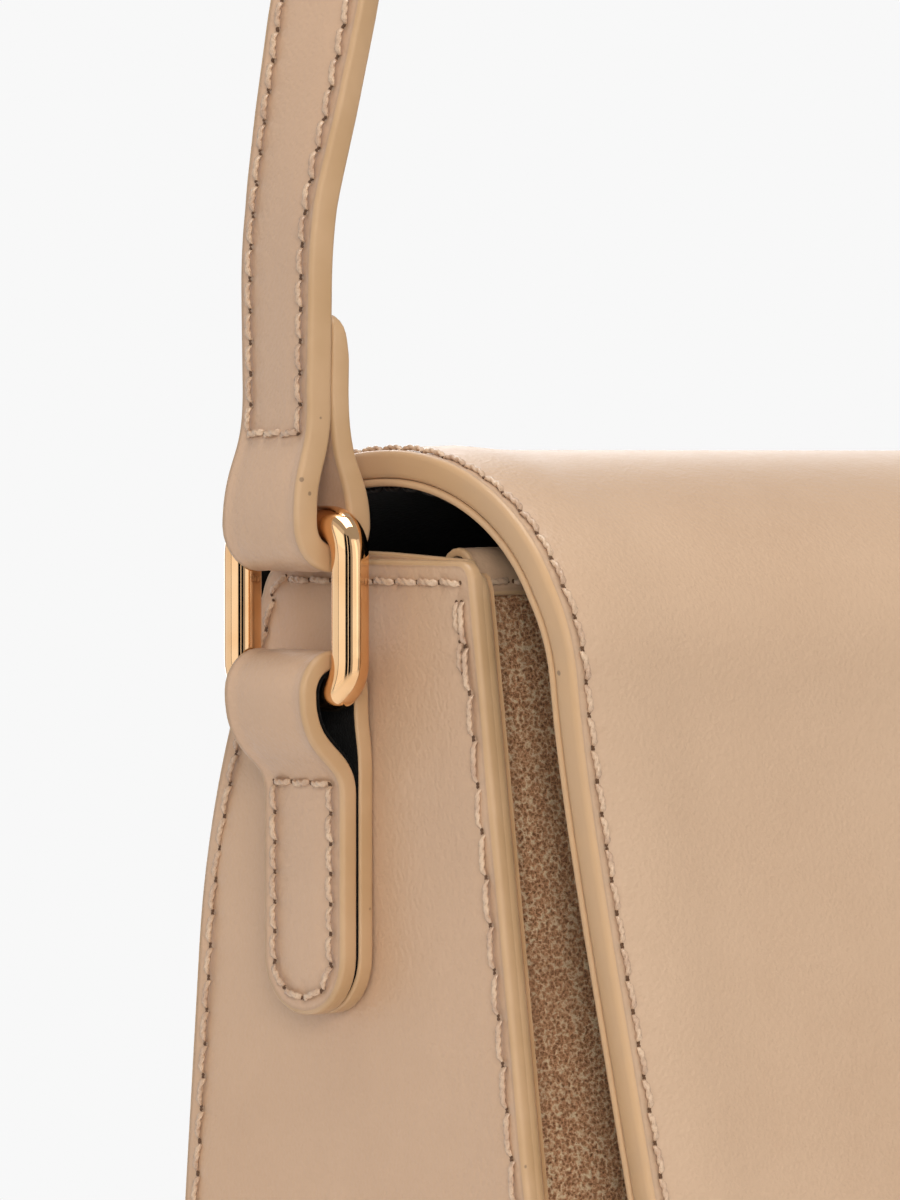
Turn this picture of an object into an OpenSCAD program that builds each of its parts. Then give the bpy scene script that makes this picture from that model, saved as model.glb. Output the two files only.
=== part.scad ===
// A baguette bag: two flat gussets, a suede front, a leather back that rolls over
// the top as a flap, and a shoulder strap on two rings.
// X runs along the bag, -Y is its front, and the origin is the middle of the base.

/* [Body] */
// Length of the bag over its two gussets
bag_l = 260; // [220:1:320]
// Height of the gussets
gusset_h = 134; // [120:1:150]
// How far the base reaches in front of the origin
base_front = 39; // [37:0.5:44]
// How far the mouth reaches in front of the origin
mouth_front = 20.3; // [19:0.1:24]
// How far the base reaches behind the origin
base_back = 37.5; // [36:0.5:42]
// How far the mouth reaches behind the origin
mouth_back = 15.8; // [14:0.1:18]
// Lean of the lower back, from upright, in degrees
back_lean = 5.2; // [4:0.1:6.5]
// Lean of the upper back, from upright, in degrees
back_top_lean = 21.5; // [18:0.5:24]
// Radius of the gusset's lower corners
gusset_foot_r = 4; // [2:0.5:4.5]
// Radius of the gusset's front top corner
gusset_front_r = 2.5; // [1:0.5:4]
// Radius of the gusset's back top corner
gusset_back_r = 5; // [2:0.5:7]

/* [Leather] */
// Thickness of the gusset leather
gusset_t = 1.6; // [1.2:0.1:2.2]
// Thickness of the suede front and of the back leather
panel_t = 1.4; // [1:0.1:2]
// Thickness of a panel's skived side flange
flange_t = 1.2; // [0.8:0.1:1.6]
// Depth of the front seam in front of the suede
front_recess = 5; // [4:0.1:6]
// Depth of the back seam behind the back leather
back_recess = 2.5; // [1.5:0.1:3.2]
// How far the stuffed front bows out at its middle
front_bow = 6.3; // [4:0.1:8]
// Thickness of the stiffening boards in the walls
board_t = 1; // [0.6:0.1:1.4]
// Thickness of the lining
lining_t = 0.8; // [0.5:0.1:1]
// Thickness of the base leather
base_t = 2; // [1.4:0.1:3]
// Thickness of the base board
base_board_t = 2; // [1:0.1:3]
// Thickness of the binding over the front panel's top edge
binding_t = 1; // [0.6:0.1:1.4]
// Height of the binding outside
binding_out_h = 3; // [2:0.1:8]
// Height of the binding inside
binding_in_h = 12; // [8:0.5:20]
// How far the binding stands over the gusset's top
binding_rise = 0.5; // [0.2:0.1:1.5]
// Thickness of the gusset's inner facing
facing_t = 1.2; // [0.8:0.1:1.8]
// Height of the gusset's inner facing
facing_h = 15; // [10:0.5:25]
// How far the facing stands over the gusset's top
facing_rise = 0.9; // [0.4:0.1:1.6]
// Width of the slip pocket
pocket_w = 110; // [80:1:140]
// Height of the slip pocket's top edge over the base
pocket_top = 92; // [70:1:95]
// Height of the slip pocket's lower edge over the base
pocket_low = 22; // [15:1:40]

/* [Flap] */
// Height of the flap's lower edge over the base
flap_tip = 20; // [12:1:40]
// Height of the top of the flap's arch over the gussets
arch_rise = 12.5; // [10:0.5:16]
// Gap between the flap's top edges and the end seams' inner faces
flap_clear = 0.3; // [0.3:0.1:2]
// How much each side draws in for each millimetre down
flap_taper = 0.1; // [0.1:0.01:0.14]
// Radius of the flap's lower corners
flap_corner_r = 30; // [20:1:40]
// Gap between the front seam and the flap's lining
flap_standoff = 6.5; // [6.2:0.1:8]
// Thickness of the flap's outer leather
flap_leather_t = 2.2; // [1.8:0.1:2.4]
// Thickness of the flap's inner board
flap_board_t = 0.6; // [0.5:0.1:0.8]
// Thickness of the flap's lining
flap_lining_t = 1.2; // [0.8:0.1:1.4]
// Height of the flap's fold under the gusset's top
hinge_drop = 16; // [14:0.5:18]
// How far the flap's roll stands behind the origin
roll_back = 28.45; // [27.5:0.05:31]
// Height of the roll's furthest point under the gusset's top
roll_drop = 4.3; // [3:0.1:6]
// Height under the gusset's top where the arch has turned down in front
brow_drop = 13; // [11:0.5:16]
// How far the arch's front stands out in front of the flap's flat front
brow_out = 1.4; // [0.8:0.1:2]

/* [Snap] */
// Height of the magnetic snap over the base, along the front
snap_z = 47; // [42:1:60]
// Radius of the snap
snap_r = 9; // [7:0.1:9]
// Thickness of the socket
socket_t = 3.2; // [3:0.1:3.3]
// Radius of the socket's recess
recess_r = 4.5; // [4.3:0.1:5]
// Depth of the socket's recess
recess_d = 1.9; // [1.7:0.1:2.2]
// Radius of the stud's boss
stud_r = 3; // [2.4:0.1:3.2]
// Height of the stud's boss
stud_h = 1.5; // [1:0.1:1.6]
// Thickness of the stud's plate
stud_plate_t = 1.6; // [1.2:0.1:1.7]
// Thickness of the metal round the magnet
shell_t = 0.8; // [0.6:0.1:1]
// Radius of the rivet shanks
shank_r = 1.5; // [1:0.1:2]
// Radius of the backing washers
washer_r = 7; // [5:0.1:8]

/* [Rings and tabs] */
// Thickness of the ring's wire
wire_d = 4.3; // [3.8:0.1:4.3]
// Height between the middles of a ring's upper and lower bars
ring_span_h = 19.2; // [18.6:0.1:22]
// Width between the middles of a ring's side bars
ring_span_w = 19.6; // [19.6:0.1:24]
// Corner radius at the middle of the wire
ring_corner_r = 3.6; // [3:0.05:3.8]
// Height of the ring's upper bar over the gusset's top
bar_rise = 4; // [4:0.1:6]
// How far the rings, tabs and strap lie behind the origin
strap_y = 3.8; // [1:0.1:5]
// Width of the tab
tab_w = 14.6; // [12:0.1:14.7]
// Length of the tab under the ring's lower bar
tab_drop = 37; // [30:0.5:50]
// Thickness of the tab's leather
tab_t = 2.2; // [1.8:0.1:2.4]
// Thickness of the tab's felt
felt_t = 0.6; // [0.4:0.1:0.7]
// Room round the wire in the tab's loop
tab_play = 0.65; // [0.5:0.05:0.8]
// Height under the lower bar where the tab's two legs meet
tab_meet = 12; // [10:0.5:16]

/* [Strap] */
// Width of the strap
strap_w = 14.5; // [12:0.1:14.6]
// Thickness of the strap's outer and inner leathers
strap_leather_t = 1.3; // [1.1:0.1:1.4]
// Thickness of the strap's filler
filler_t = 0.6; // [0.4:0.1:0.7]
// Room round the wire in the strap's loop
strap_play = 0.5; // [0.45:0.05:0.6]
// Height of the strap's middle line over the gusset's top
strap_top = 243; // [215:1:260]
// Lean of the strap's legs, from upright, in degrees
strap_lean = 12; // [11:0.1:12.5]
// Height over the upper bar where the strap's two legs meet
strap_meet = 14; // [12:0.5:20]
// Height over the upper bar where the folded end stops
fold_end = 24; // [22:0.5:28]
// Height over the upper bar where the strap starts to lean
lean_start = 27; // [24:0.5:32]
// Share of the strap's thickness left in its folded end
skive = 0.8; // [0.6:0.05:1]
// How far outside the bar's middle the strap's middle line stands
strap_out = 1.4; // [0.8:0.1:1.8]

/* [Hidden] */
$fn = 96;

gap = 0.3;
seat = 0.05;
leather_colour = "#C9AA8E";
suede_colour = "#8F7763";
lining_colour = "#3A332E";
board_colour = "#B5AEA2";
gold_colour = "#F0C890";
felt_colour = "#1D1B1A";

// Front wall: a plane that leans back, with depths measured into the bag
front_lean = atan((base_front - mouth_front) / gusset_h);
half_in = bag_l / 2 - gusset_t;
bow_r = (half_in * half_in + front_bow * front_bow) / (2 * front_bow);
front_stack = panel_t + board_t + lining_t;
front_top = gusset_h + binding_rise - binding_t;

// Back edge: two leaning lines with a rounded corner between them
bend_reach = 14;
bend_z = (mouth_back + gusset_h * tan(back_top_lean) - base_back)
         / (tan(back_top_lean) - tan(back_lean));
bend_y = base_back - bend_z * tan(back_lean);
back_stack = panel_t + board_t + lining_t;

// Flap
flap_t = flap_leather_t + flap_board_t + flap_lining_t;
hinge_z = gusset_h - hinge_drop;
hinge_y = back_y(hinge_z) - back_recess;
back_top = hinge_z - gap;
roll_z = gusset_h - roll_drop;
arch_z = gusset_h + arch_rise;
brow_z = gusset_h - brow_drop;
flap_out = flap_standoff + flap_t;
brow_y = front_y(brow_z, flap_out) - brow_out;
arch_y = (roll_back + brow_y) / 2;
flap_half = half_in - flange_t - flap_clear;
taper_z = gusset_h - 2;

brow_reach = 33;
brow_hold = 10;
roll_hold = 0.6;

// Snap, with depths measured from the front seam's plane
web_depth = front_recess - front_bow;
socket_back = web_depth - seat;
socket_face = socket_back - socket_t;
washer_t = board_t - 2 * seat;
stud_back = -flap_standoff;
stud_face = stud_back + stud_plate_t;
magnet_in_r = recess_r + shell_t;
magnet_out_r = snap_r - shell_t;
magnet_t = socket_t - shell_t;

// Rings, tabs and strap: o runs outwards from a bar's middle
wire_r = wire_d / 2;
tab_in_r = wire_r + tab_play;
tab_out_r = tab_in_r + felt_t + tab_t;
bar_out = tab_out_r;
low_bar_z = gusset_h + bar_rise - ring_span_h;
high_bar_z = gusset_h + bar_rise;
strap_t = 2 * strap_leather_t + filler_t;
strap_in_r = wire_r + strap_play;
strap_out_r = strap_in_r + strap_t;
bend_length = 13;
bend_steps = 5;
lean_o = strap_out - bend_length * tan(strap_lean) / 2;
lean_z = high_bar_z + lean_start + bend_length;
lean_x = bag_l / 2 + bar_out + lean_o;
arch_top = gusset_h + strap_top;
arch_r = (lean_x * cos(strap_lean) - (arch_top - lean_z) * sin(strap_lean)) / (1 - sin(strap_lean));
arch_centre_z = arch_top - arch_r;
fold_t = skive * strap_t;
strap_mid_r = strap_in_r + strap_t / 2;
leg_hold = 0.5;
fold_hold = 0.4;
tab_mid_r = tab_out_r - tab_t / 2;
tab_meet_o = tab_t + 2 * felt_t + tab_t / 2 - bar_out;
tab_hold = 0.66;
tab_meet_hold = 0.42;

// Y of the front seam's plane at a height, less a distance out in front of it
function front_y(z, out = 0) = -base_front + z * tan(front_lean) - out / cos(front_lean);

// Y of the gusset's back edge at a height, with its corner left sharp
function back_y(z) = z < bend_z ? base_back - z * tan(back_lean)
                                : bend_y - (z - bend_z) * tan(back_top_lean);

// Points along a quadratic and a cubic curve, and along an arc
function curve2(a, b, c, n) = [for (i = [0 : n]) let (t = i / n)
    (1 - t) * (1 - t) * a + 2 * t * (1 - t) * b + t * t * c];
function curve3(a, b, c, d, n) = [for (i = [0 : n]) let (t = i / n)
    pow(1 - t, 3) * a + 3 * t * pow(1 - t, 2) * b + 3 * t * t * (1 - t) * c + t * t * t * d];
function arc(c, r, a0, a1, n) = [for (i = [0 : n]) let (a = a0 + (a1 - a0) * i / n)
    c + r * [cos(a), sin(a)]];
function oval(c, rx, ry, a0, a1, n) = [for (i = [0 : n]) let (a = a0 + (a1 - a0) * i / n)
    c + [rx * cos(a), ry * sin(a)]];

// A path moved sideways, to the left of its direction, by a distance
function unit(v) = v / norm(v);
function left_of(v) = [-v.y, v.x];
function shift_path(p, d) = [for (i = [0 : len(p) - 1])
    let (a = p[max(i - 1, 0)], b = p[min(i + 1, len(p) - 1)])
    p[i] + d * left_of(unit(b - a))];
function reversed(p) = [for (i = [len(p) - 1 : -1 : 0]) p[i]];
function tail(p) = [for (i = [1 : len(p) - 1]) p[i]];

// The gusset's back edge from its foot to its top, with the corner rounded
function back_edge() = concat(
    curve2([back_y(bend_z - bend_reach), bend_z - bend_reach], [bend_y, bend_z],
           [back_y(bend_z + bend_reach), bend_z + bend_reach], 8));

// The gusset's outline in Y and Z
function gusset_outline() = concat(
    arc([base_back - gusset_foot_r * (1 + tan(back_lean)), gusset_foot_r], gusset_foot_r, -90, back_lean, 5),
    back_edge(),
    arc([back_y(gusset_h - gusset_back_r) - gusset_back_r / cos(back_top_lean), gusset_h - gusset_back_r],
        gusset_back_r, back_top_lean, 90, 6),
    arc([front_y(gusset_h - gusset_front_r, -gusset_front_r), gusset_h - gusset_front_r],
        gusset_front_r, 90, 180 - front_lean, 5),
    arc([front_y(gusset_foot_r, -gusset_foot_r), gusset_foot_r], gusset_foot_r, 180 - front_lean, 270, 5));

// The flap's outer line in Y and Z, from its fold over the top to its tip
function flap_line() = concat(
    curve2([hinge_y, hinge_z + seat], [roll_back, hinge_z + roll_hold * (roll_z - hinge_z)],
           [roll_back, roll_z], 6),
    tail(oval([arch_y, roll_z], roll_back - arch_y, arch_z - roll_z, 0, 90, 10)),
    tail(oval([arch_y, brow_z], arch_y - brow_y, arch_z - brow_z, 90, 180, 12)),
    tail(curve2([brow_y, brow_z], [brow_y, brow_z - brow_hold],
                [front_y(brow_z - brow_reach, flap_out), brow_z - brow_reach], 6)),
    [[front_y(0, flap_out), 0]]);

// X of the flap's side at a height
function flap_x(z) = flap_half - max(0, taper_z - z) * flap_taper;

// Solids drawn in the planes of Y and Z, and of X and Z
module along_x(w) {
    rotate([90, 0, 90]) linear_extrude(w, center = true) children();
}

module along_y(w) {
    rotate([90, 0, 0]) linear_extrude(w, center = true) children();
}

module both_ways() {
    children();
    mirror([1, 0, 0]) children();
}

// Places a drawing of X and depth on the leaning front
module on_front(h0, h1) {
    translate([0, -base_front, 0]) rotate([-front_lean, 0, 0])
        translate([0, 0, h0]) linear_extrude(h1 - h0) children();
}

// A disc on the front at the snap, from one depth to another
module snap_disc(r, d0, d1) {
    translate([0, -base_front, 0]) rotate([-front_lean, 0, 0]) translate([0, d0, snap_z])
        rotate([-90, 0, 0]) cylinder(r = r, h = d1 - d0);
}

module slab(z0, z1) {
    translate([-bag_l, -2 * base_front, z0]) cube([2 * bag_l, 4 * base_front, z1 - z0]);
}

// The bowed strip of the front between two depths
module bowed_strip(d0, d1, half) {
    intersection() {
        translate([0, web_depth + bow_r]) difference() {
            circle(r = bow_r - d0, $fn = 720);
            circle(r = bow_r - d1, $fn = 720);
        }
        translate([-half, -2 * base_front]) square([2 * half, 4 * base_front]);
    }
}

module front_layer(d0, d1, half, z0, z1) {
    intersection() {
        on_front(-base_front, 1.4 * gusset_h) bowed_strip(d0, d1, half);
        slab(z0, z1);
    }
}

// The gusset's outline, and the strips of it along the back and the front
module gusset_2d() {
    polygon(gusset_outline());
}

module back_strip(d0, d1, z0, z1) {
    edge = concat([[back_y(-1), -1]], back_edge(), [[back_y(1.2 * gusset_h), 1.2 * gusset_h]]);
    intersection() {
        polygon(concat([for (p = edge) p - [d0, 0]], reversed([for (p = edge) p - [d1, 0]])));
        translate([-base_front, z0]) square([2 * base_front + base_back, z1 - z0]);
    }
}

module back_layer(d0, d1, half, z0, z1) {
    along_x(2 * half) intersection() {
        back_strip(d0, d1, z0, z1);
        gusset_2d();
    }
}

// The floor between the walls, at a height
module floor_layer(d_front, d_back, half, z0, z1) {
    translate([0, 0, z0]) linear_extrude(z1 - z0) intersection() {
        translate([0, front_y(z1) + seat + (web_depth + bow_r) / cos(front_lean)])
            circle(r = bow_r / cos(front_lean) - d_front, $fn = 720);
        translate([-half, -2 * base_front]) square([2 * half, 2 * base_front + back_y(z1) - d_back]);
    }
}

// A flange of a panel against the gussets' inner faces
module flanges() {
    both_ways() translate([half_in - flange_t / 2, 0, 0]) along_x(flange_t) intersection() {
        children();
        gusset_2d();
    }
}

module front_panel() {
    color(suede_colour) {
        difference() {
            front_layer(0, panel_t, half_in, 0, front_top);
            snap_disc(shank_r + seat, -base_front, base_front);
        }
        intersection() {
            flanges() polygon([[front_y(-1), -1], [front_y(-1, -front_recess - panel_t / 2), -1],
                               [front_y(gusset_h, -front_recess - panel_t / 2), gusset_h],
                               [front_y(gusset_h), gusset_h]]);
            slab(0, front_top);
        }
    }
}

module front_board() {
    color(board_colour) difference() {
        front_layer(panel_t, panel_t + board_t, half_in - flange_t - gap, base_t + seat, front_top);
        snap_disc(washer_r + gap, -base_front, base_front);
    }
}

module front_lining() {
    color(lining_colour)
        front_layer(panel_t + board_t, front_stack, half_in - flange_t - gap, base_t + seat, front_top);
}

module front_binding() {
    in_z = gusset_h - binding_in_h;
    half = half_in - flange_t - gap;
    color(leather_colour) {
        front_layer(-binding_t, 0, half, front_top - binding_out_h, front_top);
        front_layer(-binding_t, front_stack + binding_t, half, front_top, front_top + binding_t);
        front_layer(front_stack, front_stack + binding_t, half, in_z, front_top);
    }
}

module back_panel() {
    color(leather_colour) {
        back_layer(back_recess, back_recess + panel_t, half_in, 0, back_top);
        flanges() back_strip(0, back_recess + panel_t / 2, 0, back_top);
    }
}

module back_board() {
    d = back_recess + panel_t;
    color(board_colour) back_layer(d, d + board_t, half_in - flange_t - gap, base_t + seat, back_top);
}

module back_lining() {
    d = back_recess + panel_t + board_t;
    color(lining_colour) back_layer(d, d + lining_t, half_in - flange_t - gap, base_t + seat, back_top);
}

module slip_pocket() {
    d = back_recess + back_stack;
    color(lining_colour) back_layer(d, d + lining_t, pocket_w / 2, pocket_low, pocket_top);
}

module base_panel() {
    color(leather_colour)
        floor_layer(panel_t, back_recess + panel_t + seat, half_in - flange_t, 0, base_t);
}

module base_board() {
    z = base_t + base_board_t;
    color(board_colour) floor_layer(front_stack, back_recess + back_stack + seat,
                                    half_in - flange_t - gap, base_t, z);
}

module base_lining() {
    z = base_t + base_board_t;
    color(lining_colour) floor_layer(front_stack, back_recess + back_stack + seat,
                                     half_in - flange_t - gap, z, z + lining_t);
}

// The left gusset's leather; the right one is its mirror image
module gusset_left() {
    color(leather_colour) translate([-bag_l / 2 + gusset_t / 2, 0, 0]) along_x(gusset_t) gusset_2d();
}

module gusset_right() {
    mirror([1, 0, 0]) gusset_left();
}

// A sheet inside the gusset, clear of the walls' layers
module gusset_inner(t, z0, z1) {
    d_front = front_recess + front_stack + binding_t + gap;
    d_back = back_recess + back_stack + gap;
    translate([-half_in + t / 2, 0, 0]) along_x(t) polygon(concat(
        [[front_y(z0, -d_front), z0], [back_y(z0) - d_back, z0]],
        [for (p = back_edge()) if (p.y > z0 && p.y < z1) p - [d_back, 0]],
        [[back_y(z1) - d_back, z1], [front_y(z1, -d_front), z1]]));
}

module gusset_lining_left() {
    z0 = base_t + base_board_t + lining_t + seat;
    color(lining_colour) gusset_inner(lining_t, z0, gusset_h - facing_h);
}

module gusset_lining_right() {
    mirror([1, 0, 0]) gusset_lining_left();
}

module gusset_facing_left() {
    color(leather_colour) gusset_inner(facing_t, gusset_h - facing_h, gusset_h + facing_rise);
}

module gusset_facing_right() {
    mirror([1, 0, 0]) gusset_facing_left();
}

// Flap layers, measured inwards from the outer line
module flap_layer(d0, d1) {
    line = flap_line();
    intersection() {
        along_x(bag_l) polygon(concat(shift_path(line, d0), reversed(shift_path(line, d1))));
        along_y(6 * base_front) flap_outline();
    }
}

module flap_outline() {
    a = atan(flap_taper);
    c = [flap_x(flap_tip + flap_corner_r) - flap_corner_r / cos(a), flap_tip + flap_corner_r];
    side = concat(arc(c, flap_corner_r, -90, -a, 10), [[flap_half, taper_z], [flap_half, 2 * gusset_h]]);
    polygon(concat(side, reversed([for (p = side) [-p.x, p.y]])));
}

module flap_leather() {
    color(leather_colour) flap_layer(0, flap_leather_t);
}

module flap_board() {
    color(board_colour) difference() {
        flap_layer(flap_leather_t, flap_leather_t + flap_board_t);
        snap_disc(washer_r + gap, -base_front, stud_face);
    }
}

module flap_lining() {
    color(lining_colour) difference() {
        flap_layer(flap_leather_t + flap_board_t, flap_t);
        snap_disc(shank_r + seat, -base_front, stud_face);
    }
}

module snap_socket() {
    color(gold_colour) {
        difference() {
            snap_disc(snap_r, socket_face, socket_back);
            snap_disc(recess_r, socket_face - 1, socket_face + recess_d);
            difference() {
                snap_disc(magnet_out_r + seat, socket_back - magnet_t - seat, socket_back + 1);
                snap_disc(magnet_in_r - seat, socket_back - magnet_t - 1, socket_back + 2);
            }
        }
        snap_disc(shank_r, socket_back - seat, web_depth + panel_t + seat);
    }
}

module snap_magnet() {
    color(felt_colour) difference() {
        snap_disc(magnet_out_r, socket_back - magnet_t, socket_back);
        snap_disc(magnet_in_r, socket_back - magnet_t - 1, socket_back + 1);
    }
}

module snap_socket_washer() {
    d = web_depth + panel_t + seat;
    color(gold_colour) snap_disc(washer_r, d, d + washer_t);
}

module snap_stud() {
    color(gold_colour) {
        snap_disc(snap_r, stud_back + seat, stud_face);
        snap_disc(stud_r, stud_face - seat, stud_face + stud_h);
        snap_disc(shank_r, stud_back - flap_lining_t, stud_back + 2 * seat);
    }
}

module snap_stud_washer() {
    d = stud_back - flap_lining_t;
    color(gold_colour) snap_disc(washer_r, d - flap_board_t + seat, d);
}

// Places a drawing of o and height at the left bar
module at_bar(z) {
    translate([-bag_l / 2 - bar_out, z]) mirror([1, 0]) children();
}

// A line round the tab, at a distance inside its leather's middle line
function tab_line(d) = concat(
    [[d - tab_mid_r, -tab_drop]],
    arc([0, 0], tab_mid_r - d, 180, 0, 24),
    tail(shift_path(concat(
        curve3([tab_mid_r, 0], [tab_mid_r, -tab_hold * tab_meet],
               [tab_meet_o, -tab_meet_hold * tab_meet], [tab_meet_o, -tab_meet], 10),
        [[tab_meet_o, -tab_drop]]), -d)));

module tab_shape() {
    translate([strap_y - tab_w / 2, low_bar_z - tab_drop + tab_w / 2])
        square([tab_w, 2 * tab_drop]);
    translate([strap_y, low_bar_z - tab_drop + tab_w / 2]) circle(d = tab_w);
}

module tab_solid(d0, d1) {
    intersection() {
        translate([0, strap_y, 0]) along_y(tab_w) at_bar(low_bar_z)
            polygon(concat(tab_line(d0), reversed(tab_line(d1))));
        along_x(2 * bag_l) tab_shape();
    }
}

module tab_left() {
    color(leather_colour) tab_solid(-tab_t / 2, tab_t / 2);
}

module tab_right() {
    mirror([1, 0, 0]) tab_left();
}

module tab_felt_left() {
    color(felt_colour) tab_solid(tab_t / 2, tab_t / 2 + felt_t);
}

module tab_felt_right() {
    mirror([1, 0, 0]) tab_felt_left();
}

// A ring of round wire: four bars and four quarter turns
module ring_left() {
    w = ring_span_w / 2 - ring_corner_r;
    h = ring_span_h / 2 - ring_corner_r;
    color(gold_colour) translate([-bag_l / 2 - bar_out, strap_y, (low_bar_z + high_bar_z) / 2]) {
        for (s = [-1, 1]) {
            translate([0, s * ring_span_w / 2, 0]) cylinder(d = wire_d, h = 2 * h, center = true);
            translate([0, 0, s * ring_span_h / 2]) rotate([90, 0, 0])
                cylinder(d = wire_d, h = 2 * w, center = true);
        }
        for (corner = [[1, 1, 0], [-1, 1, 90], [-1, -1, 180], [1, -1, 270]])
            translate([0, corner.x * w, corner.y * h]) rotate([90, 0, 90]) rotate([0, 0, corner.z])
                rotate_extrude(angle = 90) translate([ring_corner_r, 0]) circle(d = wire_d);
    }
}

module ring_right() {
    mirror([1, 0, 0]) ring_left();
}

// The folded end's line, skived, from its tip down to the ring's bar
function fold_line(d) =
    let (p = d / strap_t + 0.5,
         inner = strap_out - strap_t / 2 - seat,
         x0 = -strap_in_r - p * strap_t,
         x1 = inner - p * fold_t)
    concat([[x1, fold_end]],
           reversed(curve3([x0, 0], [x0, fold_hold * strap_meet], [x1, fold_hold * strap_meet],
                           [x1, strap_meet], 8)));

// The leg's line, up to where it runs straight into the arch
function leg_line(d) = shift_path(concat(
    curve3([strap_mid_r, 0], [strap_mid_r, leg_hold * strap_meet], [strap_out, leg_hold * strap_meet],
           [strap_out, strap_meet], 10),
    [for (i = [0 : bend_steps]) let (t = i / bend_steps)
        [strap_out - t * t * bend_length * tan(strap_lean) / 2, lean_start + t * bend_length]]), -d);

// A line along the left half of the strap, at a distance outside its middle line
function half_line(d) = concat(
    [for (p = concat(fold_line(d), tail(arc([0, 0], strap_mid_r + d, 180, 360, 24)), tail(leg_line(d))))
        [-bag_l / 2 - bar_out - p.x, high_bar_z + p.y]],
    arc([0, arch_centre_z], arch_r + d, 180 - strap_lean, 90, 52));

function strap_line(d) = concat(half_line(d), tail([for (p = reversed(half_line(d))) [-p.x, p.y]]));

// A layer of the strap between two distances outside its middle line
module strap_layer(d0, d1) {
    translate([0, strap_y, 0]) along_y(strap_w)
        polygon(concat(strap_line(d0), reversed(strap_line(d1))));
}

module strap_leather() {
    color(leather_colour) strap_layer(filler_t / 2, strap_t / 2);
}

module strap_filler() {
    color(board_colour) strap_layer(-filler_t / 2, filler_t / 2);
}

module strap_lining() {
    color(leather_colour) strap_layer(-strap_t / 2, -filler_t / 2);
}

front_panel();
front_board();
front_lining();
front_binding();
back_panel();
back_board();
back_lining();
slip_pocket();
base_panel();
base_board();
base_lining();
gusset_left();
gusset_right();
gusset_lining_left();
gusset_lining_right();
gusset_facing_left();
gusset_facing_right();
tab_left();
tab_right();
tab_felt_left();
tab_felt_right();
snap_socket();
snap_magnet();
snap_socket_washer();
flap_leather();
flap_board();
flap_lining();
snap_stud();
snap_stud_washer();
ring_left();
ring_right();
strap_leather();
strap_filler();
strap_lining();
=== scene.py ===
"""Looks for a baguette bag: tan box leather, taupe suede, a polished gold ring at each end.

Every sheet of leather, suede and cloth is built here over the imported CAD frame, in its
millimetres and in its place. Boards, washers and the snap are the CAD's own solids.
"""

import logging
import math
from dataclasses import dataclass, field
from enum import Enum
from typing import Callable, Optional, Sequence

import bmesh
import bpy
import numpy as np
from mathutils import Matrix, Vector
from mathutils.geometry import delaunay_2d_cdt

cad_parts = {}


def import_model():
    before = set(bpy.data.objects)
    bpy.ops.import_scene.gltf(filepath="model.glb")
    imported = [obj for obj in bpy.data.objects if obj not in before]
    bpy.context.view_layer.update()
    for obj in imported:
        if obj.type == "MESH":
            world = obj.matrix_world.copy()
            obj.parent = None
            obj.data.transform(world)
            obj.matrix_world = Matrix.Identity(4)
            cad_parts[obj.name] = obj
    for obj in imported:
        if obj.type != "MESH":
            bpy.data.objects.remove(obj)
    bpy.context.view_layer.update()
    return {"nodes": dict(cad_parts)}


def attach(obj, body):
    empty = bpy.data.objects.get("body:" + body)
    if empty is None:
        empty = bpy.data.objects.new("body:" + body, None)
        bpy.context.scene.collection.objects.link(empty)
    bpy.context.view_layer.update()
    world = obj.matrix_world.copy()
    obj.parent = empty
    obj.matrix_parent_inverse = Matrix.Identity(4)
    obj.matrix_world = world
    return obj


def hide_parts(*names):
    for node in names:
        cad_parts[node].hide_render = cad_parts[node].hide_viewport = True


logging.basicConfig(level=logging.INFO, format="%(levelname)s %(message)s")
LOG = logging.getLogger("baguette_bag")
MM = 0.001
CHUNK = 1500
Array = np.ndarray
Place = Callable[[Array, Array], Array]


class Side(Enum):
    """The bag's two ends, with the sign of X."""

    LEFT = -1
    RIGHT = 1

    @property
    def word(self) -> str:
        """The end's name as the CAD nodes spell it."""
        return self.name.lower()


# Lines and sizes
def curve2(a: Sequence[float], b: Sequence[float], c: Sequence[float], n: int) -> Array:
    """Points along a quadratic curve."""
    t = np.linspace(0, 1, n + 1)[:, None]
    return (1 - t) ** 2 * np.array(a) + 2 * t * (1 - t) * np.array(b) + t * t * np.array(c)


def curve3(a: Sequence[float], b: Sequence[float], c: Sequence[float], d: Sequence[float], n: int) -> Array:
    """Points along a cubic curve."""
    t = np.linspace(0, 1, n + 1)[:, None]
    return ((1 - t) ** 3 * np.array(a) + 3 * t * (1 - t) ** 2 * np.array(b)
            + 3 * t * t * (1 - t) * np.array(c) + t ** 3 * np.array(d))


def oval(c: Sequence[float], rx: float, ry: float, a0: float, a1: float, n: int) -> Array:
    """Points along an arc of an oval, between two angles in degrees."""
    a = np.radians(np.linspace(a0, a1, n + 1))
    return np.stack([c[0] + rx * np.cos(a), c[1] + ry * np.sin(a)], 1)


def lengths(line: Array) -> Array:
    """Distance along a line at each of its points."""
    return np.concatenate([[0.0], np.cumsum(np.linalg.norm(np.diff(line, axis=0), axis=1))])


def along_line(line: Array, s: Array, at: Array) -> Array:
    """Points at distances along a line; s is the distance at each of its own points."""
    return np.stack([np.interp(at, s, line[:, k]) for k in range(line.shape[1])], 1)


def resample(line: Array, step: float, closed: bool = False) -> Array:
    """The same line with evenly spaced points.

    Args:
        line: Points in the plane.
        step: Wanted spacing in millimetres.
        closed: Whether the last point joins the first.

    Returns:
        The new points; a closed line's first point isn't repeated.
    """
    pts = np.vstack([line, line[:1]]) if closed else line
    s = lengths(pts)
    n = max(2, int(round(s[-1] / step)))
    out = along_line(pts, s, np.linspace(0, s[-1], n + 1))
    return out[:-1] if closed else out


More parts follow.
